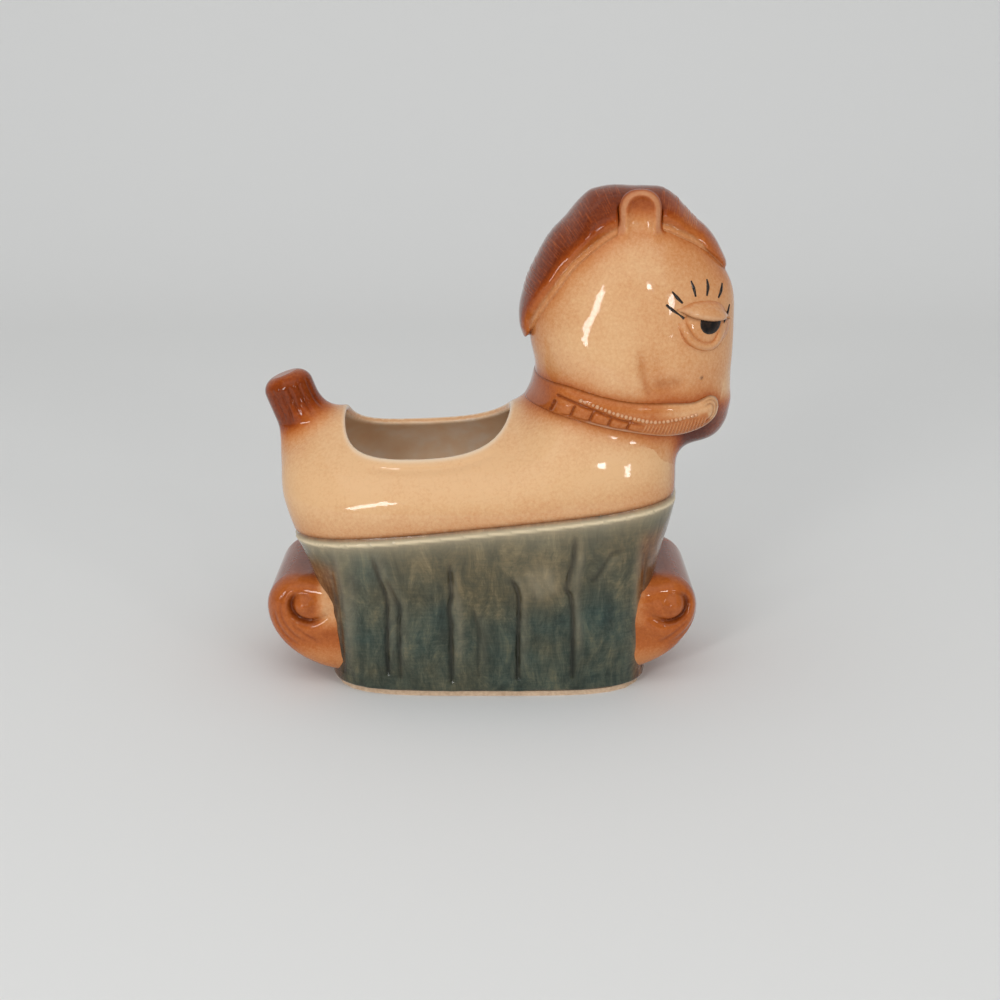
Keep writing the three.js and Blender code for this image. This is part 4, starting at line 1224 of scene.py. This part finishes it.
def reinRibs():
    paths, tapers = [], []
    t = np.linspace(0, 1, 7)
    for x0 in np.arange(rein["ribs"][0], rein["ribs"][1], rein["ribPitch"]):
        top = np.interp(x0, *lines["beads"].T) - rein["ribEnds"]
        foot = np.interp(x0 - rein["ribLean"], *lines["reinFoot"][:-8].T) + rein["ribEnds"]
        x, z = x0 - rein["ribLean"] * t, top + (foot - top) * t
        paths.append(np.stack([x, sideAt(reinSkin, x, z) + 0.06, z], axis=1))
        tapers.append(0.35 + 0.65 * np.sin(math.pi * t))
    return paths, tapers


def beadPaint(x, y, z):
    # thin pales the beads as a painted glint
    return {"brown": 0.3, "thin": 0.24}


def ribPaint(x, y, z):
    return {"brown": 0.38, "thin": 0.04}


# Eyes: domes with heavy lids, side-view lines measured on the face

eye = {"x": 62.0, "z": 110.6, "length": 16.0, "tall": 12.6, "bulge": 1.5, "lid": 1.9, "bag": 1.05,
       "bagWidth": 1.4, "lash": 0.62, "sunk": 0.3, "depth": 0.8, "thinDepth": 0.6,
       "nearSide": -3.0, "pupilX": 63.3, "pupilZ": 112.2, "pupilLength": 3.3, "pupilTall": 3.2,
       "pupilRise": 0.2}
lines["lidFoot"] = curve([(53.4, 116), (55, 115.3), (57.4, 114.2), (60.4, 113.3), (63.6, 112.6),
                          (66.5, 112.3), (69.2, 112.2)], 4)
lines["lidTop"] = curve([(53.4, 116.6), (54.7, 117), (57.7, 118.1), (61.7, 118.3), (66.2, 117.2),
                         (69.2, 113.5)], 4)
lines["bag"] = curve([(54.4, 113.6), (55.2, 111.2), (57.9, 107.4), (62.3, 105.3), (65.5, 106.2),
                      (67.8, 110.5)], 4)
# along and up, then the thickness at each point
lashes = [
    ([(49.9, 117.9), (51.6, 116.5), (53.7, 115), (55.2, 113.8)], (0.75, 0.9, 0.62, 0.85)),
    ([(51.6, 121.4), (53.1, 119.7), (54.7, 118.1)], (0.6, 1.0, 0.7)),
    ([(57.2, 124), (58, 122), (58.6, 119.6)], (0.58, 0.95, 0.65)),
    ([(62.1, 124), (62.4, 121.9), (62, 119.5)], (0.58, 1.0, 0.65)),
    ([(67.1, 122.2), (66.6, 120.3), (65.7, 118.5)], (0.58, 0.95, 0.65)),
    ([(69.6, 115.9), (68.9, 113.7), (67.5, 111.4)], (0.6, 0.9, 0.58)),
]


def eyeDome(x, y, z):
    q = np.hypot((x - eye["x"]) / (eye["length"] / 2), (z - eye["z"]) / (eye["tall"] / 2))
    return skull(x, y, z) - eye["bulge"] * np.clip(1 - q * q, 0, 1) ** 0.8, q


def eyeSkin(x, y, z):
    return eyeDome(x, y, z)[0]


def eyeField(x, y, z):
    dome, q = eyeDome(x, y, z)
    return most(dome, -skull(x, y, z) - eye["depth"], (q - 1) * 6, y - eye["nearSide"])


# How far above the lid's foot and below its top a place is.
def lidPlace(x, z):
    return leftOf(lines["lidFoot"], x, z), -leftOf(lines["lidTop"], x, z)


def lidField(x, y, z):
    dome = eyeSkin(x, y, z)
    over, under = lidPlace(x, z)
    half = np.maximum((over + under) / 2, 0.05)
    v = np.clip((under - over) / (2 * half), -1, 1)
    puff = np.where(v > 0, (1 - v ** 2) ** 0.5, (1 - v ** 2) ** 0.8) * ease(half / 1.5)
    return most(dome - eye["lid"] * puff, -dome - eye["depth"], -np.minimum(over, under) - 0.05,
                y - eye["nearSide"])


def bagField(x, y, z):
    dome = eyeSkin(x, y, z)
    gap, share, _ = nearest(lines["bag"], x, z)
    puff = np.clip(1 - (gap / eye["bagWidth"]) ** 2, 0, 1) ** 0.8
    roll = eye["bag"] * puff * ease(share / 0.2) * ease((1 - share) / 0.2)
    return most(dome - roll, -dome - eye["thinDepth"], gap - eye["bagWidth"], y - eye["nearSide"])


def pupilField(x, y, z):
    dome = eyeSkin(x, y, z)
    disc = np.hypot((x - eye["pupilX"]) / eye["pupilLength"],
                    (z - eye["pupilZ"]) / eye["pupilTall"]) - 1
    plate = smoothMax(dome - eye["pupilRise"], disc * eye["pupilLength"], 0.25)
    return most(plate, -dome - eye["thinDepth"], lidPlace(x, z)[0] - 0.4, y - eye["nearSide"])


def facePaint(x, y, z):
    over, under = lidPlace(x, z)
    # line: painted shadow under the lid's foot; fold: painted shade in the lid's top crease and
    # round the lower lid; thin: painted highlight along the lid's lower edge
    line = bell(over / 0.5) * (under > -1) * ease((x - 53) / 2) * ease(70 - x)
    bagEdge = nearest(lines["bag"], x, z)[0] - eye["bagWidth"]
    fold = bell(under / 0.6) * (over > 0) + bell(bagEdge / 0.5)
    return {"brown": np.clip(sprayAt(x, y, z) + 0.04 + 0.12 * fold, 0, 1),
            "thin": 0.1 * bell((over - 1.2) / 0.7) * (under > 0), "dark": 0.35 * line}


def lashPaths():
    paths, tapers = [], []
    for points, thickness in lashes:
        path = curve(points, 5)
        t = np.linspace(0, len(points) - 1, len(path))
        x, z = path.T
        paths.append(np.stack([x, sideAt(eyeSkin, x, z) + eye["sunk"], z], axis=1))
        tapers.append(np.interp(t, np.arange(len(points)), thickness))
    return paths, tapers


# Scrolls: rolls across the ends of the skirt, with a coil pressed into each face

scroll = {"rear": -68.4, "front": 62.8, "radius": 10.0, "top": 34.8, "stem": 3.0, "half": 25.4,
          "edge": 8.5, "groove": 1.5, "grooveWidth": 1.05, "fine": 0.35, "line": 0.4, "knob": 1.5,
          "knobX": -56.1, "knobZ": 26.7, "knobWidth": 3.2, "crown": 0.7, "drawIn": 0.9,
          "sunk": 1.5, "frontCoil": 4.5}
coil = curve([(-48.6, 24.6), (-49.6, 23.8), (-51.9, 22.6), (-54.9, 22), (-57.9, 23.1),
              (-59.8, 25.3), (-60.1, 27.9), (-58.8, 30.1), (-56.4, 30.8), (-54, 29.8),
              (-52.9, 27.9), (-53.3, 25.6), (-54.8, 24.5), (-56.4, 24.7)], 4)
coilSteps = [
    curve([(-54, 13.5), (-59.5, 17.5), (-62.9, 22.5), (-63.4, 27.4), (-61.4, 31.2),
           (-57.5, 32.9)], 4),
    curve([(-57, 12.5), (-62.6, 17.5), (-65, 22.5), (-65.2, 27)], 4),
    curve([(-50.5, 14), (-55, 17), (-59, 20.2), (-61.4, 23.4)], 4),
]


def scrollOutline():
    end, r = scroll["rear"], scroll["radius"]
    middle = np.array([end + r, scroll["top"] - r])
    stem = bezier(np.array([end + 3 * r, scroll["stem"]]), np.array([middle[0], scroll["stem"]]),
                  np.array([end, middle[1] - r]), np.array([end, middle[1]]), 16)
    angle = np.linspace(math.pi, math.pi / 2, 14)[1:]
    arc = middle + r * np.stack([np.cos(angle), np.sin(angle)], axis=1)
    return np.vstack([stem, arc, [[end + 3 * r, scroll["top"]]]])


outline = scrollOutline()


def scrollGrooves(x, z):
    deep = stroke(coil[:33], scroll["grooveWidth"], x, z, 0.5, 0.3)
    fine = stroke(coil, 0.5, x, z, 0.05, 0.5)
    steps = most(*(stroke(path, 0.45, x, z, 0.3, 0.3) for path in coilSteps))
    return deep, fine, steps


def scrollField(x, y, z, ahead=0.0):
    roll = outlineField(outline, x, z)
    deep, fine, steps = scrollGrooves(x + ahead, z)
    fromKnob = np.hypot(x + ahead - scroll["knobX"], z - scroll["knobZ"])
    knob = scroll["knob"] * bell(fromKnob / scroll["knobWidth"])
    crown = scroll["crown"] * bell((nearest(coil, x + ahead, z)[0] - 3.4) / 2.4)
    pressed = scroll["groove"] * deep + scroll["fine"] * fine + scroll["line"] * steps
    cheek = np.abs(y) - scroll["half"] + scroll["drawIn"] + pressed - knob - crown
    return np.maximum(smoothMax(roll, cheek, scroll["edge"]), -trunk(x, y, z) - scroll["sunk"])


def scrollPaint(x, y, z, ahead=0.0):
    deep, fine, steps = scrollGrooves(x + ahead, z)
    side = ease((np.abs(y) - 11) / 12)
    wall = ease((x + 54) / 4.5) * ease((z - 17) / 8) * (1 - 0.6 * blot(x, z, -55.5, 27, 3.2, 3.2))
    low = ease((17 - z) / 8) * ease((x + 64) / 9)
    # deep, fine and steps brown and darken the coil's grooves as painted shade
    stain = (0.62 + 0.2 * ease((z - 27) / 6) * (1 - side) - 0.06 * side + 0.2 * deep + 0.08 * steps
             - (0.4 - 0.05 * ahead) * wall * side - 0.22 * low * side)
    return {"brown": np.clip(stain, 0, 1),
            "dark": side * (0.45 * deep + 0.12 * fine + 0.08 * steps)}


frontShift = scroll["front"] + scroll["rear"]


# The rear scroll turned round to the front, its coil a little further in.
def mirrored(field):
    return lambda x, y, z: field(frontShift - x, y, z, scroll["frontCoil"])


# Pieces: field, corners of its box and step of its net in millimetres, then how it is painted

def castPiece(name, field, low, high, step, slot, node, paint, shade=None):
    makePiece(name, netMesh(field, low, high, step), slot, (node,), paint, shade)


def drawnPiece(name, tree, thickness, sides, drawn, slot, paint=None, mirror=True):
    paths, tapers = drawn
    sizes = {"Thickness": thickness / 1000, "Sides": sides}
    growPiece(name, strokeTree(tree, slot), sizes, paths, tapers, paint, mirror)


castPiece("body", bodyField, (-68, -38, 36), (60, 38, 106), 0.7, "cream_glaze", "body_shell",
          bodyPaint, bodyField)
castPiece("skirt", skirtField, (-67, -38, 0), (60, 38, 66), 0.73, "blue_green_glaze", "skirt_pot",
          skirtPaint, skirtField)
castPiece("head", headField, (3, -31, 68), (76, 31, 150), 0.55, "cream_glaze", "head_shell",
          headPaint, headShade)
castPiece("mane_band", maneField, (4, -30, 96), (46, 30, 152), 0.42, "brown_glaze", "mane",
          hairPaint, hairShade)
castPiece("forelock_band", forelockField, (40, -30, 118), (78, 30, 152), 0.42, "brown_glaze",
          "forelock", hairPaint, hairShade)
drawnPiece("hair_strands", "combed_strands", hair["strand"], 6, hairStrands(), "brown_glaze",
           strandPaint, mirror=False)
castPiece("rein_band", reinField, (2, -34, 76), (72, 34, 99), 0.4, "brown_glaze", "rein", reinPaint)
growPiece("rein_beads", beadTree("bead_row", "brown_glaze"), {
    "Pitch": rein["beadPitch"] / 1000, "Radius": rein["beadRadius"] / 1000, "Seed": rein["seed"]},
    reinBeads(), paint=beadPaint)
drawnPiece("rein_ribs", "rein_hatch", rein["rib"], 6, reinRibs(), "brown_glaze", ribPaint)
castPiece("tail_stump", tailField, (-76, -18, 58), (-36, 18, 98), 0.4, "brown_glaze", "tail",
          bodyPaint, tailShade)
castPiece("rear_roll", scrollField, (-71, -28, 0), (-36, 28, 38), 0.5, "brown_glaze", "rear_scroll",
          scrollPaint)
castPiece("front_roll", mirrored(scrollField), (frontShift + 36, -28, 0), (frontShift + 71, 28, 38),
          0.5, "brown_glaze", "front_scroll", mirrored(scrollPaint))
for name, node, side in (("ear_near", "ear_right", -1), ("ear_far", "ear_left", 1)):
    castPiece(name, earField, (34, 13 * side - 9, 126), (52, 13 * side + 9, 151), 0.35,
              "brown_glaze", node, earPaint, earShade)
pairs = [
    ("eye", eyeField, (52, -27, 102), (72, -2, 119), 0.35, "cream_glaze", "eye", facePaint),
    ("lid", lidField, (52, -27, 108), (72, -2, 121), 0.3, "cream_glaze", "upper_lid", facePaint),
    ("bag", bagField, (52, -27, 101), (72, -2, 117), 0.3, "cream_glaze", "lower_lid", facePaint),
    ("pupil", pupilField, (56, -27, 106), (70, -6, 117), 0.25, "black_glaze", "pupil", None),
]
for name, field, low, high, step, slot, node, paint in pairs:
    net = netMesh(field, low, high, step)
    makePiece(name + "_near", net, slot, (node + "_right",), paint)
    makePiece(name + "_far", net, slot, (node + "_left",), paint, flip=True)
drawnPiece("lashes", "brushed_lashes", eye["lash"], 10, lashPaths(), "black_glaze")

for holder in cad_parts["foot_ring"].material_slots:
    holder.material = clay
print("pieces ready")

# Studio: a pale sweep, soft windows in front and a ceiling

sweep = {"half": 6.0, "front": -3.0, "bend": 0.55, "radius": 0.4, "height": 3.0}
profile = [(sweep["front"], 0.0)]
for t in np.linspace(-math.pi / 2, 0, 13):
    profile.append((sweep["bend"] + sweep["radius"] * math.cos(t),
                    sweep["radius"] * (1 + math.sin(t))))
profile.append((sweep["bend"] + sweep["radius"], sweep["height"]))
floorMesh = bpy.data.meshes.new("sweep")
floorMesh.from_pydata([(side * sweep["half"], y, z) for y, z in profile for side in (-1, 1)], [],
                      [(2 * i, 2 * i + 1, 2 * i + 3, 2 * i + 2) for i in range(len(profile) - 1)])
floorMesh.polygons.foreach_set("use_smooth", np.ones(len(floorMesh.polygons), bool))
floorPaint = bpy.data.materials.new("sweep_paint")
floorPaint.use_nodes = True
setInputs(floorPaint.node_tree, floorPaint.node_tree.nodes["Principled BSDF"], {
    "Base Color": linear("#e6e5e2"), "Roughness": 0.9})
floorMesh.materials.append(floorPaint)
addObject("sweep", floorMesh)

# the glaze mirrors a dimmer room than the one that lights it, so that the browns stay deep
world = bpy.data.worlds.new("studio")
scene.world = world
world.use_nodes = True
sky = world.node_tree
rays = addNode(sky, "ShaderNodeLightPath").outputs
seen = addNode(sky, "ShaderNodeMath", {
    0: rays["Is Camera Ray"], 1: rays["Is Transmission Ray"]}, operation="ADD", use_clamp=True)
tone = linear("#ced1d5")
for share, other in ((rays["Is Glossy Ray"], "#7a7b7d"), (seen.outputs[0], "#c9c9c8")):
    tone = addNode(sky, "ShaderNodeMix", {0: share, 6: tone, 7: linear(other)},
                   data_type="RGBA").outputs[2]
setInputs(sky, sky.nodes["Background"], {"Color": tone, "Strength": 0.9})

# name, degrees to the right of the camera's side, degrees up, distance, width, height, roll, watts
lamps = [
    ("window_left", -26, 17, 1.0, 0.48, 0.095, 52, 2.4),
    ("window_right", 38, 17, 1.0, 0.08, 0.13, 0, 0.6),
    ("window_small", 22, 25, 1.0, 0.06, 0.05, 0, 0.25),
    ("room", 0, 50, 1.6, 2.2, 1.3, 0, 3.2),
    ("ceiling", 0, 80, 1.6, 2.2, 2.2, 0, 4.0),
]
aimHeight = 0.08
for name, side, up, reach, width, height, roll, watts in lamps:
    light = bpy.data.lights.new(name, "AREA")
    light.shape, light.size, light.size_y, light.energy = "RECTANGLE", width, height, watts
    lamp = addObject(name, light)
    a, b = math.radians(side), math.radians(up)
    lamp.location = (reach * math.sin(a) * math.cos(b), -reach * math.cos(a) * math.cos(b),
                     reach * math.sin(b) + aimHeight)
    aim = mathutils.Euler((math.pi / 2 - b, 0, a)).to_matrix() @ mathutils.Euler(
        (0, 0, math.radians(roll))).to_matrix()
    lamp.rotation_euler = aim.to_euler()

view = {"focal": 54.0, "sensor": 36.0, "near": 0.01, "at": (0.00085, -0.445, 0.1947), "down": 17.7}
lens = bpy.data.cameras.new("camera")
lens.lens, lens.sensor_width, lens.clip_start = view["focal"], view["sensor"], view["near"]
camera = addObject("camera", lens)
camera.location = view["at"]
camera.rotation_euler = (math.radians(90 - view["down"]), 0, 0)
scene.camera = camera
scene.view_settings.view_transform = "Standard"
print("studio ready")
